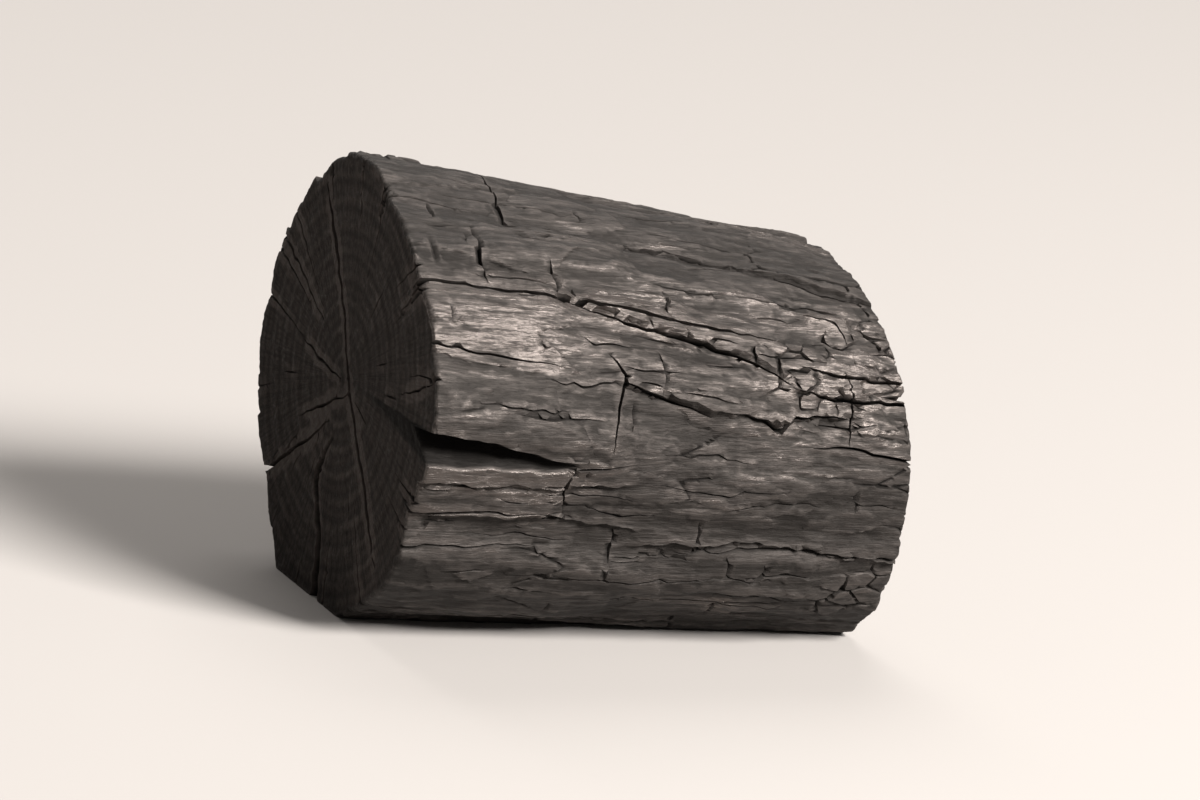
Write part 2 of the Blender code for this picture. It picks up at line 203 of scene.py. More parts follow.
# %% [markdown]
# ## Random forms that always come out the same
#
# Fibres, flakes and small blocks are too many to place by hand. Two building blocks make them. One is noise
# on a lattice: a seeded table of random numbers with smooth curves between them, which closes on itself
# round the log. The other is a set of cells: every point belongs to the nearest of many scattered centres,
# and the lines between the cells become cracks. Both are whole-array sums, so they are quick.

# %% Noise on a lattice
def lattice_noise(turns, share, around, lengthwise, seed):
    """Random numbers from -1 to 1 on a lattice, eased in both directions, closed after one turn."""
    table = np.random.default_rng(seed).uniform(-1, 1, (around, lengthwise + 2))
    u = np.mod(turns, 1) * around
    v = np.clip(share, 0, 1) * lengthwise
    i = np.floor(u).astype(int)
    j = np.floor(v).astype(int)
    ease_u = (u - i) ** 2 * (3 - 2 * (u - i))
    ease_v = (v - j) ** 2 * (3 - 2 * (v - j))
    low = table[i % around, j] * (1 - ease_u) + table[(i + 1) % around, j] * ease_u
    high = table[i % around, j + 1] * (1 - ease_u) + table[(i + 1) % around, j + 1] * ease_u
    return low * (1 - ease_v) + high * ease_v


def ridged(noise):
    """Noise folded at its middle, so that it has sharp crests: 1 minus twice its size."""
    return 1 - 2 * np.abs(noise)


# %% Scattered cells
GIRTH = 182 * MM
# Each centre stands this far into its lattice square, plus a random share of the span
CENTRE_FROM = 0.12
CENTRE_SPAN = 0.76
TILT_SPAN = 4
FAR_AWAY = 9.0


def cells(turns, share, around, lengthwise, seed):
    """For each point: distance in metres to its cell's edge, the way there, the cell's random number, tilt.

    The centres stand on a jittered lattice. Half the far centre's squared distance less the near one's is
    nothing on the edge between them, and its slope turns it into a distance. The tilt rises evenly over the
    cell, round the log one way or the other."""
    jitter = np.random.default_rng(seed).uniform(0, 1, (around, lengthwise + 4, 3))
    u = np.mod(turns, 1) * around
    v = np.clip(share, 0, 1) * lengthwise
    iu = np.floor(u).astype(int)
    iv = np.floor(v).astype(int)
    near = np.full(u.shape, FAR_AWAY)
    far = near.copy()
    near_to = np.zeros((4, *u.shape))
    far_to = np.zeros((2, *u.shape))
    for du in (-1, 0, 1):
        for dv in (-1, 0, 1):
            draw = jitter[(iu + du) % around, np.clip(iv + dv + 1, 0, lengthwise + 3)]
            to_u = iu + du + CENTRE_FROM + CENTRE_SPAN * draw[..., 0] - u
            to_v = iv + dv + CENTRE_FROM + CENTRE_SPAN * draw[..., 1] - v
            distance = to_u**2 + to_v**2
            closest = distance < near
            second = ~closest & (distance < far)
            far = np.where(closest, near, np.where(second, distance, far))
            for k, value in enumerate((to_u, to_v)):
                far_to[k] = np.where(closest, near_to[k], np.where(second, value, far_to[k]))
                near_to[k] = np.where(closest, value, near_to[k])
            near_to[2] = np.where(closest, draw[..., 2], near_to[2])
            near_to[3] = np.where(closest, TILT_SPAN * (draw[..., 0] - 0.5) * to_u, near_to[3])
            near = np.where(closest, distance, near)
    slope_across = (far_to[0] - near_to[0]) * around / GIRTH
    slope_along = (far_to[1] - near_to[1]) * lengthwise / LENGTH
    slope = np.hypot(slope_across, slope_along) + TINY
    return (far - near) / 2 / slope, slope_along / slope, slope_across / slope, near_to[2], near_to[3]

# %% [markdown]
# ## The cracks
#
# Drying cracks are what makes charcoal look like charcoal. Cutting each one out with a Boolean would leave
# ragged triangles on so fine a mesh. Here a crack is a route with a width and a depth. A point of the
# surface measures how far it lies from the route and sinks by a V-shaped amount. The deep edge of the V can
# lean to one side, as in the wide check by the near rim, whose upper lip overhangs a bright lower ledge.

# %% Routes of the cracks in the side
# Points of degrees round the log, millimetres along it and share of the full size; then width, depth and
# lean in millimetres
SIDE_CRACKS = (
    (((43, -1, 1), (43, 10, 0.8), (42, 27, 1), (39, 45, 0.9), (38, 58, 0)), 0.9, 2.4, 0),
    (((43, 20, 0), (37, 31, 0.9), (34, 44, 1), (30, 52, 0.8), (24, 58, 0)), 0.9, 2.0, 0.3),
    (((-2, -2, 1), (-2, 5, 0.95), (-2.5, 13, 0.6), (-3, 25, 0)), 4.4, 6.0, 1.6),
    (((-3, 20, 0), (-3, 25, 1), (-1, 33, 0)), 0.7, 1.2, 0),
    (((-2, 23, 0), (-8, 22, 1), (-18, 23, 0)), 0.7, 1.2, 0),
    (((-20, -1, 1), (-18, 10, 0.8), (-17, 22, 0)), 1.0, 1.8, 0.4),
    (((-15, 26, 0), (-17, 32, 1), (-15, 38, 0)), 0.7, 1.2, 0),
    (((28, 27, 0), (22, 30, 1), (13, 29, 0.9), (1, 28, 0)), 0.8, 1.4, 0),
    (((20, 30, 0.4), (17, 36, 1), (13, 45, 0)), 0.8, 1.6, 0.2),
    (((15, 46, 0), (14, 53, 0.9), (11, 55.5, 1), (16, 58, 0.8), (18, 71, 0)), 1.0, 1.9, 0.2),
    (((70, 33, 0), (68, 44, 1), (65, 56, 0)), 0.8, 1.4, 0),
    (((49, 62, 0), (47, 68, 1), (40, 69.5, 0)), 0.7, 1.2, 0),
    (((31, 60, 0), (29, 66, 0.8), (30, 79.5, 1)), 0.9, 1.6, 0),
    (((24, 57, 0), (22, 65, 0.9), (24, 79.5, 1)), 0.9, 1.6, 0),
    (((8, 60, 0), (9, 68, 0.8), (6, 79.5, 1)), 0.9, 1.5, 0),
    (((31, 67, 0), (22, 68, 1), (9, 67, 0)), 0.8, 1.2, 0),
    (((-27, 40, 0), (-24, 58, 0.8), (-25, 79.5, 1)), 1.0, 2.4, 0.3),
    (((68, 11, 0), (56, 10.5, 1), (44, 10.5, 0)), 0.7, 1.0, 0),
    (((126, 5, 0), (123, 20, 0.9), (127, 38, 1), (124, 62, 0)), 1.2, 3.2, 0.4),
    (((170, 80, 1), (168, 62, 0.8), (163, 34, 0)), 1.6, 3.6, 0.4),
    (((146, 50, 0), (157, 48, 1), (166, 51, 0)), 0.8, 1.4, 0),
    (((202, 14, 0), (205, 30, 1), (201, 58, 0)), 1.0, 2.4, 0),
    (((223, -1, 1), (221, 12, 0.7), (225, 26, 0)), 1.0, 2.4, 0),
    (((266, 44, 0), (268, 58, 0.9), (266, 80, 1)), 1.2, 2.6, 0),
    (((300, 12, 0), (303, 28, 1), (299, 50, 0)), 1.0, 2.2, 0.3),
)
SIDE_SPLITS = (
    (((31, 22, 0), (30, 27, 1), (30, 32, 0)), 0.5, 0.7, 0),
    (((24, -1, 1), (23, 12, 1), (22, 22, 0)), 0.5, 0.7, 0),
    (((19, 17, 0), (17.5, 23, 1), (20, 29, 0.6)), 0.5, 0.7, 0),
    (((55, 21, 0), (50, 21.3, 1), (44, 21, 0.5)), 0.5, 0.7, 0),
    (((102, 17, 0), (82, 17.6, 1), (70, 16.7, 0.8), (71, 22, 0)), 0.5, 0.6, 0),
    (((76, -1, 1), (74.5, 8.6, 1), (74, 15, 0)), 0.5, 0.6, 0),
    (((-29, -1, 1), (-28, 11, 1), (-27, 24, 0)), 0.6, 1.0, 0),
    (((65, 55, 0.4), (62, 61, 1), (59, 68, 1), (59, 77, 0)), 0.6, 0.8, 0.1),
    (((14, 61, 0), (14.5, 66, 1), (17, 72, 0)), 0.6, 0.9, 0),
    (((24, 57, 0.5), (22.5, 61, 1), (23, 67, 1), (20, 71, 0)), 0.5, 0.8, 0),
    (((31, 59, 0), (29, 64, 1), (29, 68, 0)), 0.5, 0.8, 0),
    (((38, 72, 0), (38.5, 79.5, 1)), 0.6, 0.9, 0),
    (((45, 66, 0), (40.5, 65, 1), (38, 68, 1), (41, 71, 0.6), (46, 70, 0)), 0.5, 0.7, 0),
    (((-34, 20, 0), (-36, 36, 1), (-33, 52, 0)), 0.6, 1.0, 0.1),
    (((-44, 30, 0), (-43, 50, 1), (-46, 66, 0)), 0.6, 1.0, 0),
    (((-6, 34, 0), (-8, 47, 1), (-5, 60, 0)), 0.5, 0.7, 0),
    (((2, 36, 0), (3, 44, 1), (1, 53, 0)), 0.5, 0.6, 0),
    (((90, 24.4, 0.5), (90, 25, 1), (90, 25.6, 0.5)), 0.8, 0.8, 0),
    (((72, 23.5, 0.5), (72, 24, 1), (72, 24.5, 0.5)), 0.8, 0.7, 0),
    (((71, 27.5, 0.5), (71, 28, 1), (71, 29, 0.5)), 0.8, 0.8, 0),
)

# %% Routes of the cracks in the sawn faces
# Near face: points of millimetres to the front, millimetres up and share of the full size; width and depth
NEAR_CRACKS = (
    (((-13.6, 23.7, 0.1), (-9, 17.5, 1), (-3.1, 9, 0.6), (3, -1.7, 0.6), (14.7, -14.6, 0.9),
      (21.2, -22.3, 0)), 1.4, 5.0),
    (((-28, 14.2, 1), (-18.3, 10, 0.7), (-7.5, 4.7, 0)), 0.9, 2.4),
    (((-15.2, 1.3, 0), (-8.6, 0, 1), (-0.6, -0.6, 0.2)), 0.8, 2.0),
    (((-1.2, -6.2, 0), (-9.7, -12.5, 0.7), (-23, -21.4, 1)), 1.1, 3.0),
    (((2.6, -1.8, 0.2), (-5.5, -6, 1), (-12.9, -9.6, 0)), 0.8, 1.6),
    (((0.3, -7.5, 0), (-4, -15.5, 0.45), (0.2, -22, 0.5), (3, -35, 1)), 2.6, 3.6),
    (((4.6, 23.5, 0), (5.8, 33, 1)), 0.9, 1.8),
    (((15.5, 13, 0), (19, 16.5, 0.6), (24, 22.2, 1)), 0.9, 2.4),
    (((20, 3, 0), (26, 5.5, 1), (31, 8, 0)), 0.7, 1.4),
)
# Far face: degrees, reach as a share of the radius, width and depth of each ray of the star
FAR_STAR_CENTRE = (2.0, 1.5)
STAR_MIDDLE = 0.45
FAR_STAR = (
    (24, 1.12, 1.1, 3.4), (77, 0.7, 0.9, 2.4), (131, 1.12, 1.0, 3.0), (161, 1.12, 1.3, 3.8),
    (231, 0.8, 0.9, 2.4), (268, 1.12, 1.1, 3.0), (322, 0.75, 0.9, 2.6),
)


def far_routes():
    """Each ray of the star as a route in the far face, from near the pith to its tip."""
    front, up = FAR_STAR_CENTRE
    for angle, reach, width, depth in FAR_STAR:
        turn = math.radians(angle)
        radius = float(outline_radius(FAR_OUTLINE, np.array(float(angle)))) * reach / MM
        tip = (front + math.cos(turn) * radius, up + math.sin(turn) * radius, 1.0 if reach > 1 else 0.0)
        middle = (front + STAR_MIDDLE * (tip[0] - front), up + STAR_MIDDLE * (tip[1] - up), 0.8)
        yield ((front, up, 0.35), middle, tip), width, depth


# %% Fine cracks drawn at random
def rim_hairlines(count, outline, seed):
    """Short fine rays that start at the rim of a sawn face and run toward its pith."""
    rng = np.random.default_rng(seed)
    for i in range(count):
        angle = (i + rng.uniform(0.1, 0.9)) * 360 / count
        turn = math.radians(angle)
        rim = float(outline_radius(outline, np.array(angle))) / MM
        inner = rim * rng.uniform(0.4, 0.85)
        bend = turn + rng.uniform(-0.05, 0.05)
        start = (rim * math.cos(turn), rim * math.sin(turn), 1)
        end = (inner * math.cos(bend), inner * math.sin(bend), 0)
        yield (start, end), rng.uniform(0.5, 0.75), rng.uniform(0.4, 0.9)


def inner_hairlines(count, seed):
    """Short fine rays well inside a sawn face, each pointing at the pith."""
    rng = np.random.default_rng(seed)
    for i in range(count):
        turn = rng.uniform(0, 2 * math.pi)
        inner = rng.uniform(5, 19)
        outer = inner + rng.uniform(3, 7)
        ends = [(r * math.cos(turn), r * math.sin(turn)) for r in (inner, (inner + outer) / 2, outer)]
        yield tuple((*place, share) for place, share in zip(ends, (0, 1, 0))), rng.uniform(0.45, 0.65), 0.5


def side_hairlines(count, seed):
    """Fine splits at random: three in four follow the grain, the others cross it."""
    rng = np.random.default_rng(seed)
    for i in range(count):
        angle = rng.uniform(0, 360)
        place = rng.uniform(2, 76)
        if i % 4:
            half = rng.uniform(2.5, 9)
            ways = (-1, -0.3, 0.4, 1)
            steps = [(angle + rng.uniform(-0.8, 0.8), place + half * way, 1 - way * way) for way in ways]
        else:
            half = rng.uniform(2, 6)
            ways = (-1, -0.4, 0.3, 1)
            steps = [(angle + half * way, place + rng.uniform(-0.5, 0.5), 1 - way * way) for way in ways]
        yield tuple(steps), rng.uniform(0.4, 0.65), rng.uniform(0.35, 0.75), 0.0


# %% Rough edges for every route
WOBBLE_STEP = 1.5 * MM
MAIN_WOBBLE = 0.16 * MM
SPLIT_WOBBLE = 0.2 * MM
RAY_WOBBLE = 0.1 * MM
NARROW = 2
NARROWED = 0.66


def roughened(route, rng, wobble):
    """A route with a point every 1.5 mm or so, each moved a little to one side at random."""
    points = [route[0]]
    for start, end in zip(route, route[1:]):
        run = np.subtract(end[:2], start[:2])
        length = max(float(np.hypot(*run)), TINY)
        pieces = max(int(length / WOBBLE_STEP), 1)
        for k in range(1, pieces + 1):
            way = k / pieces
            shift = rng.normal(0, wobble) if k < pieces else 0.0
            x = start[0] + run[0] * way - run[1] / length * shift
            y = start[1] + run[1] * way + run[0] / length * shift
            points.append((x, y, start[2] + (end[2] - start[2]) * way))
    return points


def finer(width):
    """A crack's width on the real object: the solid's facets need narrow ones half as wide again."""
    return width if width > NARROW else width * NARROWED


def side_lines(cracks, wobble, seed):
    """Side cracks in metres: the middle angle, the route as distances along and across, and the sizes."""
    rng = np.random.default_rng(seed)
    for route, width, depth, lean in cracks:
        middle = sum(point[0] for point in route) / len(route)
        metres = [(along * MM, (degrees - middle) * DEGREE_ARC, share) for degrees, along, share in route]
        yield middle, roughened(metres, rng, wobble), finer(width) * MM, depth * MM, lean * MM


def face_lines(cracks, wobble, seed):
    """Face cracks in metres: the route as distances to the front and up, and the sizes."""
    rng = np.random.default_rng(seed)
    for route, width, depth in cracks:
        metres = [(front * MM, up * MM, share) for front, up, share in route]
        yield roughened(metres, rng, wobble), finer(width) * MM, depth * MM


main_lines = [*side_lines(SIDE_CRACKS, MAIN_WOBBLE, 12)]
fine_lines = [*side_lines([*SIDE_SPLITS, *side_hairlines(170, 11)], SPLIT_WOBBLE, 13)]
near_hairlines = [*rim_hairlines(17, NEAR_OUTLINE, 21), *inner_hairlines(12, 23)]
far_hairlines = [*rim_hairlines(26, FAR_OUTLINE, 22), *inner_hairlines(10, 24)]
near_lines = [*face_lines(near_hairlines, RAY_WOBBLE, 14), *face_lines(NEAR_CRACKS, MAIN_WOBBLE, 15)]
far_lines = [*face_lines(far_hairlines, RAY_WOBBLE, 16), *face_lines(far_routes(), MAIN_WOBBLE, 17)]
print("cracks in the side:", len(main_lines), "and", len(fine_lines), "fine ones")
print("cracks in the ends:", len(near_lines), "near and", len(far_lines), "far")

# %% [markdown]
# ## Measuring against a route
#
# A crack can't be narrower than the grid unless grid points lie exactly on its deep edge and its two lips.
# So each point first measures its distance to the route. Then the point nearest to the deep edge moves onto
# it, and its neighbours move onto the lips. Points further off stay where they are, so the grid stays even.
# A point that one crack has caught is no longer free for the next, so the main cracks go first.

# %% Distance to a route
TIP_WIDTH = 0.2
STEEPEST_LEAN = 0.75


def measure_route(x, y, route):
    """For each point: signed distance to the route, the way out from it, the share, and 1 beside it.

    The sign is + on the left of the way the route runs. The last value is 0 past either end."""
    best = np.full(x.shape, np.inf)
    found = np.zeros((5, *x.shape))
    for number, ((ax, ay, a_share), (bx, by, b_share)) in enumerate(zip(route, route[1:])):
        run_x = bx - ax
        run_y = by - ay
        raw = ((x - ax) * run_x + (y - ay) * run_y) / (run_x**2 + run_y**2)
        way = np.clip(raw, 0, 1)
        off_x = x - ax - way * run_x
        off_y = y - ay - way * run_y
        side = np.where(run_x * off_y < run_y * off_x, -1.0, 1.0)
        past_start = (number == 0) & (raw < 0)
        past_end = (number == len(route) - 2) & (raw > 1)
        share = a_share + (b_share - a_share) * way
        distance = np.hypot(off_x, off_y)
        values = (side, side * off_x, side * off_y, share, np.where(past_start | past_end, 0.0, 1.0))
        found = np.where(distance < best, values, found)
        best = np.minimum(best, distance)
    safe = np.maximum(best, TINY)
    return found[0] * best, found[1] / safe, found[2] / safe, found[3], found[4]


def near_points(x, y, route, margin):
    """The points inside the route's box with a margin round it, so that far points cost nothing."""
    xs = [point[0] for point in route]
    ys = [point[1] for point in route]
    inside_x = (x > min(xs) - margin) & (x < max(xs) + margin)
    inside_y = (y > min(ys) - margin) & (y < max(ys) + margin)
    return np.nonzero(inside_x & inside_y)[0]


def half_width(width, share):
    """Half the crack's width: a fifth of the full width at a tip, and all of it where the share is 1."""
    return width * (TIP_WIDTH + (1 - TIP_WIDTH) * share) / 2


def crack_depth(x, y, route, width, depth, lean=0.0):
    """A V: full depth along its deep edge, which leans to one side, and nothing at half the width away."""
    offset, _, _, share, _ = measure_route(x, y, route)
    half = half_width(width, share)
    edge = np.minimum(lean * share, STEEPEST_LEAN * half)
    below = (offset + half) / (half + edge)
    above = (half - offset) / (half - edge)
    return depth * share * np.clip(np.minimum(below, above), 0, 1)


# %% Settling points on a crack
LIP_REACH = 1.5
LEAST_SHARE = 0.08


def settle(offset, spacing, centre, half):
    """New distances, and which points were caught.

    The point nearest to the deep edge moves onto it, and the next on each side moves onto a lip. Where a lip
    lies further off, the point nearest to that lip moves onto it."""
    from_centre = offset - centre
    at_centre = np.abs(from_centre) < spacing / 2
    reach = LIP_REACH * spacing
    on_upper = np.abs(offset - half) < spacing / 2
    on_lower = np.abs(offset + half) < spacing / 2
    above = (from_centre >= spacing / 2) & np.where(half - centre < reach, from_centre < reach, on_upper)
    below = (from_centre <= -spacing / 2) & np.where(half + centre < reach, from_centre > -reach, on_lower)
    moved = np.where(at_centre, centre, np.where(above, half, np.where(below, -half, offset)))
    return moved, at_centre | above | below


def settle_on_line(x, y, free, steps, route, width, depth, lean=0.0):
    """Which free points lie by one crack, and how far they move so that its three lines meet grid points.

    The grid's spacing across the crack is the long side of a right triangle, whose short sides are the steps
    along x and y, each times that part of the way out. The depth plays no part yet."""
    chosen = near_points(x, y, route, width)
    chosen = chosen[free[chosen]]
    offset, out_x, out_y, share, beside = measure_route(x[chosen], y[chosen], route)
    spacing = np.hypot(out_x * steps[0], out_y * steps[1])
    half = half_width(width, share)
    centre = np.minimum(lean * share, STEEPEST_LEAN * half)
    target, caught = settle(offset, spacing, centre, half)
    caught = caught & (beside > 0) & (share > LEAST_SHARE)
    free[chosen[caught]] = False
    moved = np.where(caught, target - offset, 0)
    return chosen, moved * out_x, moved * out_y


# %% [markdown]
# ## Fine relief of the side
#
# Under a lens the side is bundles of fibres, thin flakes, and at the right-hand end small blocks with a net
# of cracks. The blocks are cells of about 3 by 4 mm inside soft oval windows: two stand where the photograph
# shows them, and three on the hidden sides. Each cell has a height of its own, so that light catches one and
# misses the next. Modelling them one by one would take days and look no better.

# %% Where the blocks and the shine are
# Cells round the log, cells along it and the seed
SMALL_CELLS = (62, 19, 38)
LONG_CELLS = (34, 4, 36)
FLAKES = (84, 15, 42)
CELL_LIP = 0.22 * MM
# Painted highlight: the side is lighter and shinier here, most where the key light glances, and painted
# darker as shade elsewhere. Degrees, place in mm, half the turn, half the length, and how much
PAINTED_SHEEN_PLACES = (
    (38, 36, 20, 60, 1.0), (30, 10, 12, 14, 1.3), (43, 33, 9, 15, 1.5), (28, 64, 15, 15, 1.7),
    (48, 63, 8, 15, 1.6), (-8, 8, 5, 18, 1.6), (-19, 10, 3, 16, 0.9), (8, 40, 14, 60, 0.5),
    (86, 70, 8, 30, 0.5), (204, 40, 28, 60, 0.9), (124, 46, 16, 34, 0.8), (316, 52, 14, 26, 0.35),
    (252, 30, 14, 30, 0.6),
)
PAINTED_SHEEN_LEAST = 0.22
PAINTED_SHEEN_UNEVEN = 0.4
# Degrees, place in mm, half the turn and half the length
BLOCK_WINDOWS = ((25, 65, 13, 13), (36, 74, 11, 4), (176, 62, 20, 12), (328, 70, 14, 7), (112, 7, 12, 6))
# How far fibres bend, as a share of a turn, and slip, as a share of the length
WIDE_BEND = 0.004
NARROW_BEND = 0.0016
SLIP = 0.016


def block_window(angle, along):
    """Where the small blocks stand: about 1 inside each oval and fading to 0 outside it."""
    window = np.zeros(angle.shape)
    for middle, place, half_turn, half_length in BLOCK_WINDOWS:
        across = angle_between(angle, middle) / half_turn
        lengthwise = (along / MM - place) / half_length
        window = np.maximum(window, np.exp(-(across**4) - lengthwise**4))
    return window


def fibre_place(angle, along):
    """Turns round the log and share of its length, bent a little by noise so that fibres aren't straight."""
    turns = angle / 360
    share = along / LENGTH
    wide = WIDE_BEND * lattice_noise(turns, share, 9, 5, 31)
    narrow = NARROW_BEND * lattice_noise(turns, share, 30, 14, 32)
    slip = SLIP * lattice_noise(turns, share, 44, 7, 39)
    return turns + (wide + narrow), share + slip


def painted_sheen_share(angle, along):
    """Painted highlight of each spot: a bell round the middle of each place, broken by noise of 8 mm."""
    painted_sheen = np.full(angle.shape, PAINTED_SHEEN_LEAST)
    for middle, place, half_turn, half_length, amount in PAINTED_SHEEN_PLACES:
        across = angle_between(angle, middle) / half_turn
        lengthwise = (along / MM - place) / half_length
        painted_sheen = np.maximum(painted_sheen, amount * np.exp(-(across**2) - lengthwise**4))
    return painted_sheen * (1 + PAINTED_SHEEN_UNEVEN * lattice_noise(angle / 360, along / LENGTH, 24, 9, 43))


# %% Fibres, flakes and blocks
# Heights in millimetres
BUNDLES = 0.09
FIBRES = 0.07
PATCHES = 0.1
LONG_STEPS = 0.3
SEAM_DEPTH = 0.3
FLAKE_TILTS = 0.13
FLAKE_STEPS = 0.16
BLOCK_STEPS = 0.5
BLOCK_TILTS = 0.14
BLOCK_EDGES = 0.04
NET_DEPTH = 0.75
BLOCK_ROUNDING = 0.6 * MM
# Noise past which a patch stands higher or lower, and how softly it starts
PATCH_HIGH = 0.12
PATCH_LOW = 0.3
PATCH_SOFT = 0.06


def fine_relief(angle, along):
    """Height of fibres, flakes, long cells and blocks in metres, with a share of sheen and of seam.

    Each form adds its number, drawn or worked out, times its height. Blocks take the place of flakes inside
    their windows. The same numbers choose the sheen, so that each flake shines in its own way."""
    turns, share = fibre_place(angle, along)
    coarse = ridged(lattice_noise(turns, share, 120, 16, 33))
    fine = ridged(lattice_noise(turns, share, 230, 34, 34))
    layer = lattice_noise(turns, share, 40, 9, 35)
    patch = np.clip((layer - PATCH_HIGH) / PATCH_SOFT, 0, 1)
    patch -= np.clip((-layer - PATCH_LOW) / PATCH_SOFT, 0, 1)
    long_edge, _, _, long_draw, _ = cells(turns, share, *LONG_CELLS)
    strength = np.clip(0.1 + 1.7 * lattice_noise(turns, share, 17, 11, 37), 0, 1)
    seam = np.clip(1 - long_edge / CELL_LIP, 0, 1) * strength
    _, _, _, flake_draw, flake_tilt = cells(turns, share, *FLAKES)
    small_edge, _, _, small_draw, small_tilt = cells(turns, share, *SMALL_CELLS)
    window = block_window(angle, along)
    depth_of_net = np.clip(0.55 + 1.1 * lattice_noise(turns, share, 46, 17, 40), 0.08, 1)
    net = np.clip(1 - small_edge / CELL_LIP, 0, 1) * window * depth_of_net
    height = BUNDLES * coarse + FIBRES * fine + PATCHES * patch
    height += LONG_STEPS * (long_draw - 0.5)
    height -= SEAM_DEPTH * seam
    height += (1 - 0.6 * window) * (FLAKE_TILTS * flake_tilt + FLAKE_STEPS * (flake_draw - 0.5))
    worn = BLOCK_EDGES * np.exp(-small_edge / BLOCK_ROUNDING)
    height += window * (BLOCK_STEPS * (small_draw - 0.5) + BLOCK_TILTS * small_tilt - worn)
    height -= NET_DEPTH * net
    sheen = 0.55 + 0.5 * (long_draw - 0.5) + 0.55 * (flake_draw - 0.5) + 0.2 * patch + 0.1 * fine
    sheen += 0.5 * window * (small_draw - 0.3)
    # The sheen is scaled by a painted highlight: lighter where the key light glances, painted shade
    # elsewhere.
    return height * MM, np.clip(sheen, 0, 1.2) * painted_sheen_share(angle, along), np.maximum(seam, net)


# %% [markdown]
# ## The grid on the side
#
# The side is a grid of columns round the log and rows along it. Fibres run along the log, so the columns
# stand closer than the rows. The first and last rows crowd together over the worn rims. The points then
# settle on the main cracks, then on the ledges, the fine cracks and the seams of the cells.

# %% Columns and rows
COLUMNS = 528
COLUMN_STEP = 360 / COLUMNS * DEGREE_ARC
RIM_ROWS = (0.0, 0.12, 0.28, 0.5)
MIDDLE_ROWS = 114
MIDDLE_FROM = 0.8 * MM
RIM_EASE = 1.5 * MM
BLOCKS_FROM = 0.15
rim_rows = np.array(RIM_ROWS) * MM
middle_rows = np.linspace(MIDDLE_FROM, LENGTH - MIDDLE_FROM, MIDDLE_ROWS + 1)
row_places = np.concatenate([rim_rows, middle_rows, LENGTH - rim_rows[::-1]])
ROWS = len(row_places)
ROW_STEP = middle_rows[1] - middle_rows[0]
grid_angle = np.tile(np.arange(COLUMNS) * 360 / COLUMNS, ROWS)
grid_along = np.repeat(row_places, COLUMNS)
print("grid of the side:", COLUMNS, "columns", round(COLUMN_STEP / MM, 2), "mm apart and", ROWS, "rows")


def rim_ease(along):
    """Nothing at either rim and 1 further in, so that rows near a rim keep their places along the log."""
    return np.clip(np.minimum(along, LENGTH - along) / RIM_EASE, 0, 1)


def settle_on_lines(angle, along, free, lines):
    """Moves free points of the side onto each of a list of cracks in turn."""
    for middle, *sizes in lines:
        across = angle_between(angle, middle) * DEGREE_ARC
        chosen, move_x, move_y = settle_on_line(along, across, free, (ROW_STEP, COLUMN_STEP), *sizes)
        angle[chosen] += move_y / DEGREE_ARC
        along[chosen] += move_x * rim_ease(along[chosen])


def settle_on_ledges(angle, along, free):
    """Moves the free points nearest to the top and the foot of each ledge's step onto them."""
    for line, _, _ in LEDGES:
        offset = ledge_offset(line, angle, along)
        beside = free & (along >= line[0][1] * MM) & (along <= line[-1][1] * MM)
        for target in (0.0, -LEDGE_STEP):
            close = beside & (np.abs(offset - target) < COLUMN_STEP / 2)
            angle[close] += (target - offset[close]) / DEGREE_ARC
            free[close] = False


def settle_on_cells(angle, along, free, pattern):
    """Moves free points onto the edges of a pattern of cells and onto the lips of their seams."""
    turns, share = fibre_place(angle, along)
    distance, out_x, out_y, _, _ = cells(turns, share, *pattern)
    spacing = np.maximum(np.abs(out_x) * ROW_STEP, np.abs(out_y) * COLUMN_STEP)
    target, caught = settle(distance, spacing, 0.0, CELL_LIP)
    moved = np.where(caught & free, distance - target, 0)
    angle += moved * out_y / DEGREE_ARC
    along += moved * out_x * rim_ease(along)


# %% Where face cracks cross the rim
RIM_LINE_REACH = 6 * MM


def rim_lines(lines, outline):
    """For each face crack that reaches its rim: a short side route, so that the columns meet its lips."""
    for route, width, _ in lines:
        front, up, _ = (np.array(values) for values in zip(*route))
        angle = np.degrees(np.arctan2(up, front))
        over = np.nonzero(np.hypot(front, up) > outline_radius(outline, angle) - RIM_WEAR)[0]
        if len(over):
            crossing = over[np.argmin(np.hypot(front[over], up[over]))]
            yield float(angle[crossing]), [(-MM, 0.0, 1.0), (RIM_LINE_REACH, 0.0, 0.0)], width, 0.0, 0.0


near_rim_lines = [*rim_lines(near_lines, NEAR_OUTLINE)]
far_rim_lines = []
for middle, route, *sizes in rim_lines(far_lines, FAR_OUTLINE):
    turned = [(LENGTH - along, across, share) for along, across, share in route]
    far_rim_lines.append((middle, turned, *sizes))
print("face cracks that cross a rim:", len(near_rim_lines), "near and", len(far_rim_lines), "far")


def settled(grid_angle, grid_along):
    """All the settling in order, from the main cracks to the seams of the cells."""
    angle = grid_angle.copy()
    along = grid_along.copy()
    free = np.ones(angle.shape, bool)
    settle_on_lines(angle, along, free, [*main_lines[::-1], *near_rim_lines, *far_rim_lines])
    settle_on_ledges(angle, along, free)
    settle_on_lines(angle, along, free, fine_lines)
    settle_on_cells(angle, along, free & (block_window(angle, along) > BLOCKS_FROM), SMALL_CELLS)
    settle_on_cells(angle, along, free & (block_window(angle, along) < BLOCKS_FROM), LONG_CELLS)
    return angle, along


side_angle, side_along = settled(grid_angle, grid_along)
shift = np.abs(angle_between(side_angle, grid_angle)) * DEGREE_ARC / MM
print("mean and largest sideways move, in mm:", round(float(shift.mean()), 3), round(float(shift.max()), 2))

# %% [markdown]
# ## The side as a surface
#
# A place on the side is the pith, moved out by the radius: the outline, plus the large relief, plus the fine
# relief, less the depth of the cracks. Near a sawn face the cracks of that face are felt too, and push the
# rim inward along X. That way side and face agree at the rim, and a crack can run over it.

# %% Depth of the cracks
# A crack is felt round a rim over this many times its depth
DECAY = 1.6


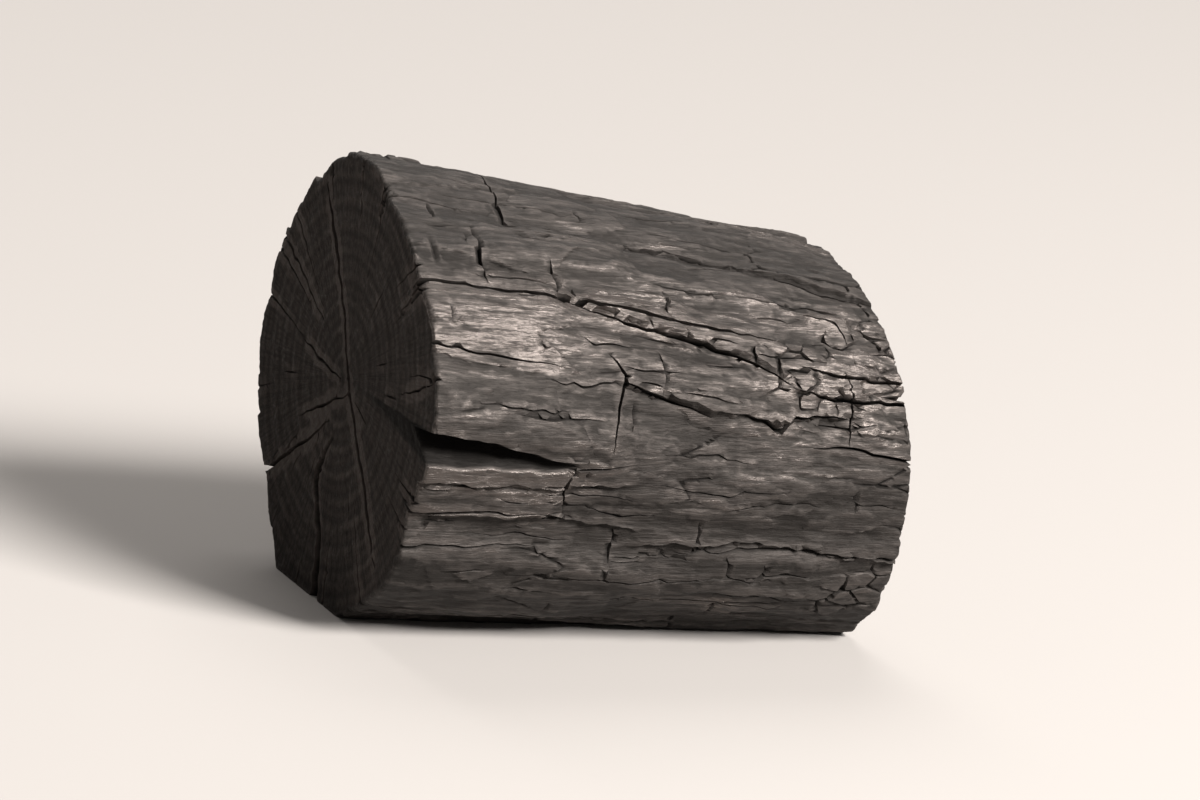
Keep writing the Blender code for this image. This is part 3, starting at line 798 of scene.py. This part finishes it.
def deepen(field, x, y, away, route, width, depth, *lean):
    """Cuts one crack into the field: the deeper of the two wins, and a crack fades with the distance away."""
    chosen = near_points(x, y, route, width)
    here = crack_depth(x[chosen], y[chosen], route, width, depth, *lean)
    here *= np.exp(-away[chosen] / (DECAY * depth))
    field[chosen] = np.maximum(field[chosen], here)


def side_crack_field(angle, along, from_rim):
    """The deepest side crack at each point, fading with the distance from the rim on a sawn face."""
    field = np.zeros(angle.shape)
    for middle, *sizes in (*fine_lines, *main_lines):
        deepen(field, along, angle_between(angle, middle) * DEGREE_ARC, from_rim, *sizes)
    return field


def face_crack_field(lines, front, up, from_face):
    """The deepest face crack at each point, fading with the distance from the face on the side."""
    field = np.zeros(front.shape)
    for sizes in lines:
        deepen(field, front, up, from_face, *sizes)
    return field


# %% From angle and distance to places
RIM_DROP = 0.3 * MM
RIM_REACH = 0.5 * MM
RIM_CALM = 0.45
CALM_REACH = 5 * MM
RIM_CHIP = 1.5 * MM
CHIP_FROM = 0.45
CHIP_REACH = 1.6
# Lattice points round the near and the far rim, and the seeds
CHIP_NOISE = ((96, 41), (84, 42))


def rim_drop(angle, along):
    """How far a worn rim draws in: a quarter circle, small all round and larger where a chip is gone."""
    to_end = np.minimum(along, LENGTH - along)
    even = np.zeros(angle.shape)
    at_near, at_far = (lattice_noise(angle / 360, even, around, 1, seed) for around, seed in CHIP_NOISE)
    chip = RIM_CHIP * np.clip(np.where(along < LENGTH / 2, at_near, at_far) - CHIP_FROM, 0, 1)
    reach = RIM_REACH + CHIP_REACH * chip
    inside = np.clip(1 - to_end / reach, 0, 1)
    return (RIM_DROP + chip) * (1 - np.sqrt(1 - inside**2))


def bare_radius(angle, along):
    """Radius of the side before its cracks open, with the shares of sheen and seam."""
    share = along / LENGTH
    plain = outline_radius(NEAR_OUTLINE, angle) * (1 - share) + outline_radius(FAR_OUTLINE, angle) * share
    calm = 1 - RIM_CALM * np.exp(-np.minimum(along, LENGTH - along) / CALM_REACH)
    large = grain_relief(angle, share) * calm + ledge_relief(angle, along) + plate_relief(angle, along)
    fine, sheen, seam = fine_relief(angle, along)
    return plain + large + fine - rim_drop(angle, along), sheen, seam


def place_from(radius, angle, along):
    """A place: out from the pith by the radius, never under the ground, the far end slanted."""
    share = along / LENGTH
    turn = np.radians(angle)
    x = along - end_slant(angle) * share**3 - LENGTH / 2
    y = PITH_SET_BACK - radius * np.cos(turn)
    z = np.maximum(pith_height(share) + radius * np.sin(turn), 0)
    return np.stack([x, y, z], axis=-1)


def rim_notches(angle, outline, lines, from_face):
    """How far the cracks of a sawn face push the rim inward at each angle."""
    reach = outline_radius(outline, angle) - RIM_DROP
    turn = np.radians(angle)
    return face_crack_field(lines, reach * np.cos(turn), reach * np.sin(turn), from_face)


def side_surface(angle, along):
    """Places on the side, the depth of its cracks, the shares of sheen and seam, and the radius."""
    bare, sheen, seam = bare_radius(angle, along)
    cracks = side_crack_field(angle, along, np.zeros(angle.shape))
    places = place_from(bare - cracks, angle, along)
    from_near = rim_notches(angle, NEAR_OUTLINE, near_lines, along)
    from_far = rim_notches(angle, FAR_OUTLINE, far_lines, LENGTH - along)
    places[:, 0] += from_near - from_far
    notch = from_near * np.exp(-along / MM) + from_far * np.exp((along - LENGTH) / MM)
    return places, np.maximum(cracks, notch), sheen, seam, bare - cracks


side_points, side_cracks, side_sheen, side_seam, side_radius = side_surface(side_angle, side_along)
print("side:", len(side_points), "points; deepest crack", round(float(side_cracks.max()) / MM, 1), "mm")

# %% [markdown]
# ## The sawn ends
#
# Rings of points that shrink to the pith would crowd there into needles. Instead a square grid is pressed
# into the outline: its border is the rim, one border point for each column of the side, and each smaller
# square becomes a smaller copy of the outline. The face then gets its shallow dish, faint growth rings, the
# torn ends of fibres, and its cracks.

# %% A square grid pressed into the rim
HALF = COLUMNS // 8
# Mean spacing of the pressed grid
FACE_STEP = 0.49 * MM


def square_to_rim():
    """For each point of the square grid: the column of the rim it faces, and its share of the radius."""
    step = np.arange(-HALF, HALF + 1)
    s, t = (grid.ravel().astype(float) for grid in np.meshgrid(step, step, indexing="ij"))
    share = np.maximum(np.abs(s), np.abs(t))
    safe = np.maximum(share, TINY)
    right = s >= np.abs(t)
    left = (-s >= np.abs(t)) & ~right
    top = (t > np.abs(s)) & ~right & ~left
    on_right = t / safe * HALF
    on_top = 2 * HALF - s / safe * HALF
    on_left = 4 * HALF - t / safe * HALF
    on_bottom = 6 * HALF + s / safe * HALF
    column = np.where(right, on_right, np.where(top, on_top, np.where(left, on_left, on_bottom)))
    return np.mod(column, COLUMNS), share / HALF


# %% The sawn faces
GROWTH_RING = 3.6 * MM
GROWTH_WAVE = 0.05 * MM
# Fine rings, and how much noise squeezes and shifts them
RING_STEP = 1.75 * MM
RING_UNEVEN = 0.05
RING_DRIFT = 2.2
RING_HEIGHT = 0.016 * MM
RING_SPAN = 34 * MM
TORN_SPAN = 80 * MM
TORN_PATCHES = 0.07 * MM
TORN_ENDS = 0.045 * MM
# Shares of the radius: where a face starts to follow its rim's settled points, and its calm border
FOLLOW_FROM = 0.6
FOLLOW_OVER = 0.3
CALM_BORDER = 0.03


def ring_height(radius, angle):
    """Growth rings: a wave of the distance from the pith, squeezed and stretched a little with the angle."""
    turns = angle / 360
    uneven = 1 + RING_UNEVEN * lattice_noise(turns, np.zeros(angle.shape), 5, 1, 51)
    phase = 2 * math.pi * radius * uneven / RING_STEP
    phase += RING_DRIFT * lattice_noise(turns, radius / RING_SPAN, 9, 7, 52)
    fade = 0.55 + 0.45 * lattice_noise(turns, radius / RING_SPAN, 7, 4, 53)
    return RING_HEIGHT * fade * (np.sin(phase) + 0.35 * np.sin(2 * phase + 0.8))


def torn_fibres(front, up, seed):
    """The rough saw cut: noise of 3 mm patches and of single fibre ends, on a plain square lattice."""
    across = front / TORN_SPAN + 0.5
    height = up / TORN_SPAN + 0.5
    patches = lattice_noise(across, height, 26, 26, seed)
    ends = lattice_noise(across, height, 110, 110, seed + 1)
    return TORN_PATCHES * patches + TORN_ENDS * ends


def settle_on_rays(front, up, lines, ease):
    """Moves the points of a sawn face onto each of its cracks in turn, less where the ease is small."""
    free = np.ones(front.shape, bool)
    for sizes in lines[::-1]:
        chosen, move_x, move_y = settle_on_line(front, up, free, (FACE_STEP, FACE_STEP), *sizes)
        front[chosen] += move_x * ease[chosen]
        up[chosen] += move_y * ease[chosen]


def face_surface(pith, inward, lines, along_there, seed):
    """A sawn face: its places, and for each the column of the rim, the share, cracks and how far it is sunk.

    The rim is drawn in by the share, then sinks along X: dish, rings, torn fibres and cracks."""
    column, share = square_to_rim()
    plain_angle = column * 360 / COLUMNS
    along = np.full(column.shape, along_there)
    moved, _ = settled(plain_angle, along)
    follow = np.clip((share - FOLLOW_FROM) / FOLLOW_OVER, 0, 1)
    angle = plain_angle + angle_between(moved, plain_angle) * follow
    rim = place_from(bare_radius(angle, along)[0], angle, along)
    centre = np.array(pith)
    flat = centre + (rim - centre) * share[:, None]
    reach = np.linalg.norm((rim - centre)[:, 1:], axis=1)
    front = centre[1] - flat[:, 1]
    up = flat[:, 2] - centre[2]
    inside = np.clip((1 - share) / CALM_BORDER, 0, 1)
    settle_on_rays(front, up, lines, inside)
    radius = np.hypot(front, up)
    opened = face_crack_field(lines, front, up, np.zeros(front.shape))
    pushed = side_crack_field(angle, along, np.maximum(reach - radius, 0))
    wave = GROWTH_WAVE * np.cos(2 * math.pi * radius / GROWTH_RING + np.radians(2 * angle))
    rough = wave + ring_height(radius, angle) + torn_fibres(front, up, seed)
    sunk = FACE_DISH * (1 - share**2) + rough * inside + opened
    slim = 1 - pushed / np.maximum(radius, MM)
    z = np.maximum(centre[2] + up * slim, 0)
    places = np.stack([flat[:, 0] + inward * sunk, centre[1] - front * slim, z], axis=-1)
    cracks = np.maximum(opened, pushed)
    return {"places": places, "column": column, "share": share, "cracks": cracks, "sunk": sunk}


near_face = face_surface(NEAR_PITH, 1, near_lines, 0.0, 61)
far_face = face_surface(FAR_PITH, -1, far_lines, LENGTH, 71)
print("each sawn face:", len(near_face["share"]), "points")

# %% [markdown]
# ## High edges and hollows
#
# High edges are made lighter and shinier, partly as wear and partly as a painted highlight, and hollows
# are painted darker as shade. Both can be told from the relief: a point that stands higher than the mean
# of its neighbours is an edge, and one that lies lower is a hollow. The finish reads that number later.

# %% High and low points
EDGE_HEIGHT = 0.13 * MM
EDGE_LEAST = 0.3


def stands_out(height, wrap):
    """Height over the mean of a block of 7 by 3 grid points, as a share from -1 to 1.

    A grid that doesn't wrap round has no neighbours past its sides, so those take the value next to them."""
    steps = [(lengthwise, across) for across in range(-3, 4) for lengthwise in (-1, 0, 1)]
    mean = sum(np.roll(height, step, axis=(0, 1)) for step in steps) / len(steps)
    share = np.clip((height - mean) / EDGE_HEIGHT, -1, 1)
    share[0] = share[1]
    share[-1] = share[-2]
    if not wrap:
        share[:, 0] = share[:, 1]
        share[:, -1] = share[:, -2]
    return share.ravel()


SQUARE = 2 * HALF + 1
side_edge = stands_out(side_radius.reshape(ROWS, COLUMNS), True)
# Painted highlight on high edges, scaled by the painted highlight of their place.
painted_edge_sheen = np.clip(EDGE_LEAST + painted_sheen_share(side_angle, side_along), 0, 1)
face_grids = (-face["sunk"].reshape(SQUARE, SQUARE) for face in (near_face, far_face))
near_edge, far_edge = (stands_out(grid, False) for grid in face_grids)
print("share of the side that is a rubbed edge:", round(float((side_edge > 0.5).mean()), 3))

# %% [markdown]
# ## One closed mesh
#
# The two faces share the rim's points with the side, so the lump is one closed skin with no seam. Each
# four-sided cell is cut into two triangles along the diagonal whose ends lie at the same depth, so that the
# bottom of a slanting crack is a clean line. Sharp creases are marked, because broken char has hard edges.

# %% Joining side and ends
SIDE_COUNT = ROWS * COLUMNS
DEEPER_WINS = 0.2


def face_numbers(face, rim_start, first_new):
    """A point number for each point of a sawn face: rim points are the side's own, the others are new."""
    on_rim = face["share"] >= 1 - TINY
    numbers = np.empty(len(on_rim), int)
    numbers[on_rim] = rim_start + np.rint(face["column"][on_rim]).astype(int) % COLUMNS
    numbers[~on_rim] = first_new + np.arange((~on_rim).sum())
    return numbers, ~on_rim


def cells_of_square(numbers):
    """The four corners of every cell of a square grid of point numbers."""
    grid = numbers.reshape(SQUARE, SQUARE)
    return np.stack([part.ravel() for part in (grid[:-1, :-1], grid[1:, :-1], grid[1:, 1:], grid[:-1, 1:])])


def cells_of_side():
    """The four corners of every cell of the side, whose last column joins the first."""
    grid = np.arange(SIDE_COUNT).reshape(ROWS, COLUMNS)
    after = np.roll(grid, -1, axis=1)
    return np.stack([part.ravel() for part in (grid[:-1], after[:-1], after[1:], grid[1:])])


def diagonal_cost(one, other):
    """Low for two corners of the same depth, and a little lower where both lie deep."""
    return np.abs(one - other) - DEEPER_WINS * (one + other)


def cut_in_two(corners, sunk):
    """Two triangles a cell, cut along the diagonal that costs less."""
    a, b, c, d = corners
    by_first = diagonal_cost(sunk[a], sunk[c]) <= diagonal_cost(sunk[b], sunk[d])
    one = np.where(by_first, (a, b, c), (a, b, d))
    two = np.where(by_first, (a, c, d), (b, c, d))
    return np.concatenate([one.T, two.T])


near_numbers, near_new = face_numbers(near_face, 0, SIDE_COUNT)
far_numbers, far_new = face_numbers(far_face, SIDE_COUNT - COLUMNS, SIDE_COUNT + near_new.sum())


def joined(side_values, near_values, far_values):
    """Values of the side, then those of the new points of each face."""
    return np.concatenate([side_values, near_values[near_new], far_values[far_new]])


def joined_with(side_values, key):
    """Values of the side, then what the faces keep under that name."""
    return joined(side_values, near_face[key], far_face[key])


def joined_plain(side_values, face_value):
    """Values of the side, then one value all over the faces."""
    return joined(side_values, *(np.full(len(face["share"]), face_value) for face in (near_face, far_face)))


points = joined_with(side_points, "places")
sunk = joined_with(FACE_DISH - side_radius + side_radius.max(), "sunk")
triangles = {
    "side": cut_in_two(cells_of_side(), sunk),
    "near face": cut_in_two(cells_of_square(near_numbers), sunk),
    "far face": cut_in_two(cells_of_square(far_numbers)[::-1], sunk),
}
for name, corners in triangles.items():
    a, b, c = (points[corners[:, k]] for k in range(3))
    swept = (np.cross(a, b) * c).sum() / 6
    print(name, len(corners), "triangles,", "outward" if swept > 0 else "inward")

# %% The mesh and what the finish reads
CREASE = 42
# Cracks are painted in full shade from this depth, and the seams of the cells take this share of it.
DARK_AT = 0.9 * MM
SEAM_SHADE = 0.8
FACE_SHEEN = 0.3


def put_in_scene(name, data):
    """A new object that carries the data, at the origin of the scene."""
    made = bpy.data.objects.new(name, data)
    bpy.context.scene.collection.objects.link(made)
    return made


def skin_mesh():
    """The mesh, its creases, and one layer of numbers for each thing that the finish reads."""
    mesh = bpy.data.meshes.new("charcoal_skin")
    mesh.from_pydata(points.tolist(), [], np.concatenate([*triangles.values()]).tolist())
    cracks = joined_with(side_cracks, "cracks") / DARK_AT
    layers = {
        "sawn": joined_plain(np.zeros(SIDE_COUNT), 1.0),
        # Painted shade: how dark each crack and seam is painted.
        "depth": np.clip(np.maximum(cracks, SEAM_SHADE * joined_plain(side_seam, 0.0)), 0, 1),
        "sheen": joined_plain(side_sheen, FACE_SHEEN),
        "edge": joined(np.where(side_edge > 0, side_edge * painted_edge_sheen, side_edge), near_edge, far_edge),
    }
    for name, values in layers.items():
        layer = mesh.attributes.new(name, "FLOAT", "POINT")
        layer.data.foreach_set("value", values.astype(np.float32))
    from_pith = points - np.where(points[:, :1] < 0, NEAR_PITH, FAR_PITH)
    reach = np.hypot(from_pith[:, 1], from_pith[:, 2])
    safe = np.maximum(reach, 0.1 * MM)
    ray = np.stack([from_pith[:, 1] / safe, from_pith[:, 2] / safe, reach / MM], axis=-1)
    layer = mesh.attributes.new("ray", "FLOAT_VECTOR", "POINT")
    layer.data.foreach_set("vector", ray.astype(np.float32).ravel())
    mesh.shade_smooth()
    mesh.set_sharp_from_angle(angle=math.radians(CREASE))
    return mesh


skin = skin_mesh()
lump = put_in_scene("charcoal_skin", skin)
print("charcoal_skin:", len(skin.polygons), "triangles, valid:", not skin.validate())

# %% [markdown]
# ## The charred finish
#
# Charcoal is a dark, slightly warm grey with a broken shine, so a single black would look like rubber. Where
# light glances on it, it gleams like graphite, almost like a metal. So one number, the shine, makes a spot
# smoother, more metallic and lighter at once. Streaks of noise along the grain and small flakes raise it. A
# painted highlight raises it most where the key light glances, and on high edges, which also stand for wear;
# painted shade lowers it elsewhere, most on the bottom and top, in hollows and between fibres. Cracks and
# seams are painted dark, as shade, and are dull. On the sawn ends the same material turns brownish and dull,
# with faint rings and fine rays round the pith, and high points painted lighter as a highlight.

# %% Helpers for material nodes
def plain_material(name, specular):
    """A new material with its node tree and its shader, whose specular level is the same all over."""
    material = bpy.data.materials.new(name)
    material.use_nodes = True
    shader = material.node_tree.nodes["Principled BSDF"]
    shader.inputs["Specular IOR Level"].default_value = specular
    return material, material.node_tree, shader


def wired(tree, kind, inputs, output=0, **settings):
    """Adds a node, sets its properties by name, feeds its inputs and gives back one of its outputs.

    What an input is fed is a number, a colour or the output of another node."""
    made = tree.nodes.new(kind)
    for name, value in settings.items():
        setattr(made, name, value)
    for socket, value in inputs.items():
        if isinstance(value, bpy.types.NodeSocket):
            tree.links.new(value, made.inputs[socket])
        else:
            made.inputs[socket].default_value = value
    return made.outputs[output]


def arithmetic(tree, operation, first, second, clamp=False):
    """One sum on two values. With clamp the result is held between 0 and 1."""
    return wired(tree, "ShaderNodeMath", {0: first, 1: second}, operation=operation, use_clamp=clamp)


def product(tree, first, *others, clamp=False):
    """All the values multiplied in turn."""
    for other in others:
        first = arithmetic(tree, "MULTIPLY", first, other, clamp)
    return first


def weighted(tree, first, *parts):
    """The first value, and each further value times its weight, added up."""
    for value, weight in parts:
        first = arithmetic(tree, "ADD", first, arithmetic(tree, "MULTIPLY", value, weight))
    return first


def remapped(tree, value, low, high, to_low, to_high):
    """A value carried from one range to another, and held at the ends."""
    ranges = {"From Min": low, "From Max": high, "To Min": to_low, "To Max": to_high}
    return wired(tree, "ShaderNodeMapRange", {"Value": value, **ranges}, "Result")


def mixed_colour(tree, share, first, second):
    """A mix of two colours. The node keeps sockets for numbers too: 6 and 7 take colours, and 2 gives one."""
    return wired(tree, "ShaderNodeMix", {"Factor": share, 6: first, 7: second}, 2, data_type="RGBA")


def stretched(tree, place, scale):
    """Coordinates multiplied by a scale for each axis, so that a pattern can run with the grain."""
    return wired(tree, "ShaderNodeMapping", {"Vector": place, "Scale": scale})


def stretched_noise(tree, place, scale, detail, roughness=0.55):
    """Noise on stretched coordinates."""
    inputs = {"Vector": stretched(tree, place, scale), "Scale": 1.0, "Detail": detail, "Roughness": roughness}
    return wired(tree, "ShaderNodeTexNoise", inputs, "Fac")


# %% Small flakes as a pattern
FLAKE_WARP = 450.0
FLAKE_BEND = (1.6 * MM, 0.6 * MM, 0.6 * MM)
FLAKE_SCALE = (330, 1450, 1450)


def small_flakes(tree, place):
    """Flakes of about 0.7 by 3 mm: two random numbers for each, and a height that tilts each its own way.

    The tilt is the way from the flake's middle, times a random direction."""
    warp = wired(tree, "ShaderNodeTexNoise", {"Vector": place, "Scale": FLAKE_WARP}, "Color")
    bent = wired(tree, "ShaderNodeVectorMath", {0: warp, 1: FLAKE_BEND, 2: place}, operation="MULTIPLY_ADD")
    spot = stretched(tree, bent, FLAKE_SCALE)
    colour = wired(tree, "ShaderNodeTexVoronoi", {"Vector": spot, "Scale": 1.0}, "Color")
    middle = colour.node.outputs["Position"]
    from_middle = wired(tree, "ShaderNodeVectorMath", {0: spot, 1: middle}, operation="SUBTRACT")
    direction = wired(tree, "ShaderNodeVectorMath", {0: colour, 1: (0.5, 0.5, 0.5)}, operation="SUBTRACT")
    both = {0: from_middle, 1: direction}
    tilt = wired(tree, "ShaderNodeVectorMath", both, "Value", operation="DOT_PRODUCT")
    red = wired(tree, "ShaderNodeSeparateColor", {0: colour})
    return red, red.node.outputs[1], tilt


# %% Shine of the side and tone of the sawn ends
RAY_SCALE = (55, 55, 0.12)
RING_WOBBLE = 5.0


def side_shine(tree, sheen, edge, streaks, fibres, patches, flake_grey):
    """How much each spot of the side gleams: streaks, sheen, patches and flakes, then edges and hollows."""
    streak_share = remapped(tree, streaks, 0.38, 0.64, 0.15, 1.8)
    patch_share = remapped(tree, patches, 0.35, 0.65, 0.6, 1.6)
    flake_share = remapped(tree, flake_grey, 0.1, 0.9, 0.6, 1.45)
    shine = product(tree, streak_share, sheen, patch_share, flake_share)
    # High edges add a painted highlight, which also stands for wear.
    shine = arithmetic(tree, "ADD", shine, remapped(tree, edge, 0.15, 0.9, 0.0, 0.5))
    # Painted shade: hollows and the grooves between fibres are darker.
    painted_hollow_shade = remapped(tree, edge, -1.0, -0.1, 0.35, 1.0)
    painted_groove_shade = remapped(tree, fibres, 0.38, 0.5, 0.4, 1.0)
    return product(tree, shine, painted_hollow_shade, painted_groove_shade, clamp=True)


def ring_tones(tree, place, ray):
    """Growth rings as a wave of the distance from the pith, which is the ray's third number."""
    distance = wired(tree, "ShaderNodeSeparateXYZ", {0: ray}, "Z")
    wobble = product(tree, stretched_noise(tree, place, (90, 90, 90), 2), RING_WOBBLE)
    phase = weighted(tree, wobble, (distance, 2 * math.pi * MM / RING_STEP))
    return remapped(tree, arithmetic(tree, "SINE", phase, 0.0), -1, 1, 0, 1)


def sawn_tone(tree, rings, rays, grit, edge):
    """How light each spot of a sawn end is: rings, grit and rays darken it, and edges are lighter."""
    ring_share = remapped(tree, rings, 0, 1, 0.35, 0.8)
    grit_share = remapped(tree, grit, 0.3, 0.7, 0.4, 1.0)
    tone = product(tree, ring_share, grit_share, remapped(tree, rays, 0.35, 0.6, 0.35, 1.0))
    # High points of a sawn end are painted lighter, as a highlight.
    return arithmetic(tree, "ADD", tone, remapped(tree, edge, 0.1, 0.8, 0.0, 0.5), clamp=True)


# %% The charcoal material
DARK_CHAR = (0.0090, 0.0078, 0.0070, 1)
SILVER_CHAR = (0.102, 0.0895, 0.083, 1)
SAWN_DARK = (0.0045, 0.0036, 0.0032, 1)
SAWN_LIGHT = (0.048, 0.0388, 0.0345, 1)
# Painted shade deep in cracks and seams
CRACK_SHADE_COLOUR = (0.0025, 0.0022, 0.0020, 1)
SHINY = 0.34
SILVER_METAL = 0.85
MATT = 0.68
SAWN_DULL = 0.7
DULL_ADDS = 0.4
CHAR_SPECULAR = 0.25
CHAR_TINT = (1.0, 0.93, 0.88, 1)
BUMP_DISTANCE = 0.14 * MM


def charcoal_material():
    """Shine and tone become colour, roughness and metallic, and the same patterns become bump."""
    material, tree, shader = plain_material("charcoal_skin", CHAR_SPECULAR)
    place = wired(tree, "ShaderNodeTexCoord", {}, "Object")
    ray = wired(tree, "ShaderNodeAttribute", {}, "Vector", attribute_name="ray")
    sawn, depth, sheen, edge = (
        wired(tree, "ShaderNodeAttribute", {}, "Fac", attribute_name=name)
        for name in ("sawn", "depth", "sheen", "edge")
    )
    streaks = stretched_noise(tree, place, (110, 1300, 1300), 6, 0.7)
    fibres = stretched_noise(tree, place, (260, 2600, 2600), 4, 0.65)
    patches = stretched_noise(tree, place, (55, 120, 120), 3)
    grit = stretched_noise(tree, place, (2200, 2200, 2200), 3, 0.7)
    flake_grey, flake_height, flake_tilt = small_flakes(tree, place)

    shine = side_shine(tree, sheen, edge, streaks, fibres, patches, flake_grey)
    rings = ring_tones(tree, place, ray)
    rays = stretched_noise(tree, ray, RAY_SCALE, 2)
    tone = sawn_tone(tree, rings, rays, grit, edge)
    side_colour = mixed_colour(tree, shine, DARK_CHAR, SILVER_CHAR)
    face_colour = mixed_colour(tree, tone, SAWN_DARK, SAWN_LIGHT)
    skin_colour = mixed_colour(tree, sawn, side_colour, face_colour)
    # Painted shade: cracks and seams turn near black with their depth.
    crack_shade = remapped(tree, depth, 0.1, 0.75, 0.0, 1.0)
    colour = mixed_colour(tree, crack_shade, skin_colour, CRACK_SHADE_COLOUR)

    dull = arithmetic(tree, "MAXIMUM", product(tree, sawn, SAWN_DULL), crack_shade)
    rough = remapped(tree, shine, 0, 1, MATT, SHINY)
    rough = arithmetic(tree, "ADD", rough, remapped(tree, dull, 0, 1, 0, DULL_ADDS), clamp=True)
    silver = remapped(tree, shine, 0.15, 0.9, 0.0, SILVER_METAL)
    silver = product(tree, silver, remapped(tree, dull, 0, 1, 1, 0))

    on_side = weighted(tree, flake_tilt, (fibres, 1.2), (flake_height, 0.25))
    height = product(tree, on_side, remapped(tree, sawn, 0, 1, 1.0, 0.2))
    height = weighted(tree, height, (streaks, 1.3), (grit, 0.3), (weighted(tree, rays, (rings, 0.2)), sawn))
    bump = wired(tree, "ShaderNodeBump", {"Strength": 1.0, "Distance": BUMP_DISTANCE, "Height": height})
    outputs = {"Base Color": colour, "Roughness": rough, "Metallic": silver, "Normal": bump}
    for name, output in outputs.items():
        tree.links.new(output, shader.inputs[name])
    shader.inputs["Specular Tint"].default_value = CHAR_TINT
    return material


skin.materials.append(charcoal_material())
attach(lump, "root")
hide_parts("charcoal_lump")

# %% [markdown]
# ## Floor, light and camera
#
# The lump lies on a wide pale floor that fills the picture. A large soft light stands to the front right and
# above, so that the side gleams along its grain and the near face stays in shade. A second one behind lights
# the back, and a weak broad sky fills the shadows. The camera looks from the left front, a little from above,
# through a long lens. It is rolled a little, because the real lump slopes down to the right as it lies.

# %% The floor
FLOOR_HALF = 4.0
FLOOR_COLOUR = (0.385, 0.366, 0.352, 1)
FLOOR_ROUGHNESS = 0.9
FLOOR_SPECULAR = 0.05


def pale_floor():
    """A flat square, far wider than the view."""
    floor_mesh = bpy.data.meshes.new("pale_floor")
    corners = [(x * FLOOR_HALF, y * FLOOR_HALF, 0) for x, y in ((-1, -1), (1, -1), (1, 1), (-1, 1))]
    floor_mesh.from_pydata(corners, [], [(0, 1, 2, 3)])
    material, _, shader = plain_material("pale_floor", FLOOR_SPECULAR)
    shader.inputs["Base Color"].default_value = FLOOR_COLOUR
    shader.inputs["Roughness"].default_value = FLOOR_ROUGHNESS
    floor_mesh.materials.append(material)
    return put_in_scene("pale_floor", floor_mesh)


pale_floor()

# %% Light
from mathutils import Matrix, Vector

AIM = (0.0, 0.0, 0.030)
LIGHT_COLOUR = (1.0, 0.965, 0.93)
SKY_COLOUR = (1.0, 0.97, 0.94, 1)
SKY_STRENGTH = 0.2
# Name, direction from the lump, distance and width in metres, and watts
SOFT_LIGHTS = (
    ("key_light", (0.43, -0.645, 0.633), 1.8, 0.66, 97),
    ("back_light", (0.15, 0.75, 0.95), 2.0, 1.4, 25),
)


def aimed_matrix(place, aim):
    """A placing whose -Z axis looks at the aim."""
    look = Vector(aim) - Vector(place)
    matrix = look.to_track_quat("-Z", "Y").to_matrix().to_4x4()
    matrix.translation = Vector(place)
    return matrix


for name, direction, distance, size, power in SOFT_LIGHTS:
    light = bpy.data.lights.new(name, "AREA")
    light.shape = "SQUARE"
    light.size = size
    light.energy = power
    light.color = LIGHT_COLOUR
    unit = np.array(direction) / np.linalg.norm(direction)
    softbox = put_in_scene(name, light)
    softbox.matrix_world = aimed_matrix(tuple(np.array(AIM) + unit * distance), AIM)

world = bpy.data.worlds.new("soft_sky")
world.use_nodes = True
sky = world.node_tree.nodes["Background"]
sky.inputs["Color"].default_value = SKY_COLOUR
sky.inputs["Strength"].default_value = SKY_STRENGTH
bpy.context.scene.world = world
bpy.context.scene.view_settings.view_transform = "Standard"
bpy.context.scene.view_settings.look = "None"

# %% Camera
CAMERA_AZIMUTH = -26.2
CAMERA_ELEVATION = 14.0
CAMERA_DISTANCE = 1.2
CAMERA_ROLL = 9.0
LENS = 258


def camera_place(azimuth, elevation, distance):
    """A place on a sphere about the aim: azimuth 0 is the front, and a negative one is to the left."""
    a = math.radians(azimuth)
    e = math.radians(elevation)
    back = (math.sin(a) * math.cos(e), -math.cos(a) * math.cos(e), math.sin(e))
    return tuple(AIM[k] + distance * back[k] for k in range(3))


camera_data = bpy.data.cameras.new("camera")
camera_data.lens = LENS
camera_data.clip_end = 20
camera = put_in_scene("camera", camera_data)
level = aimed_matrix(camera_place(CAMERA_AZIMUTH, CAMERA_ELEVATION, CAMERA_DISTANCE), AIM)
camera.matrix_world = level @ Matrix.Rotation(math.radians(CAMERA_ROLL), 4, "Z")
bpy.context.scene.camera = camera
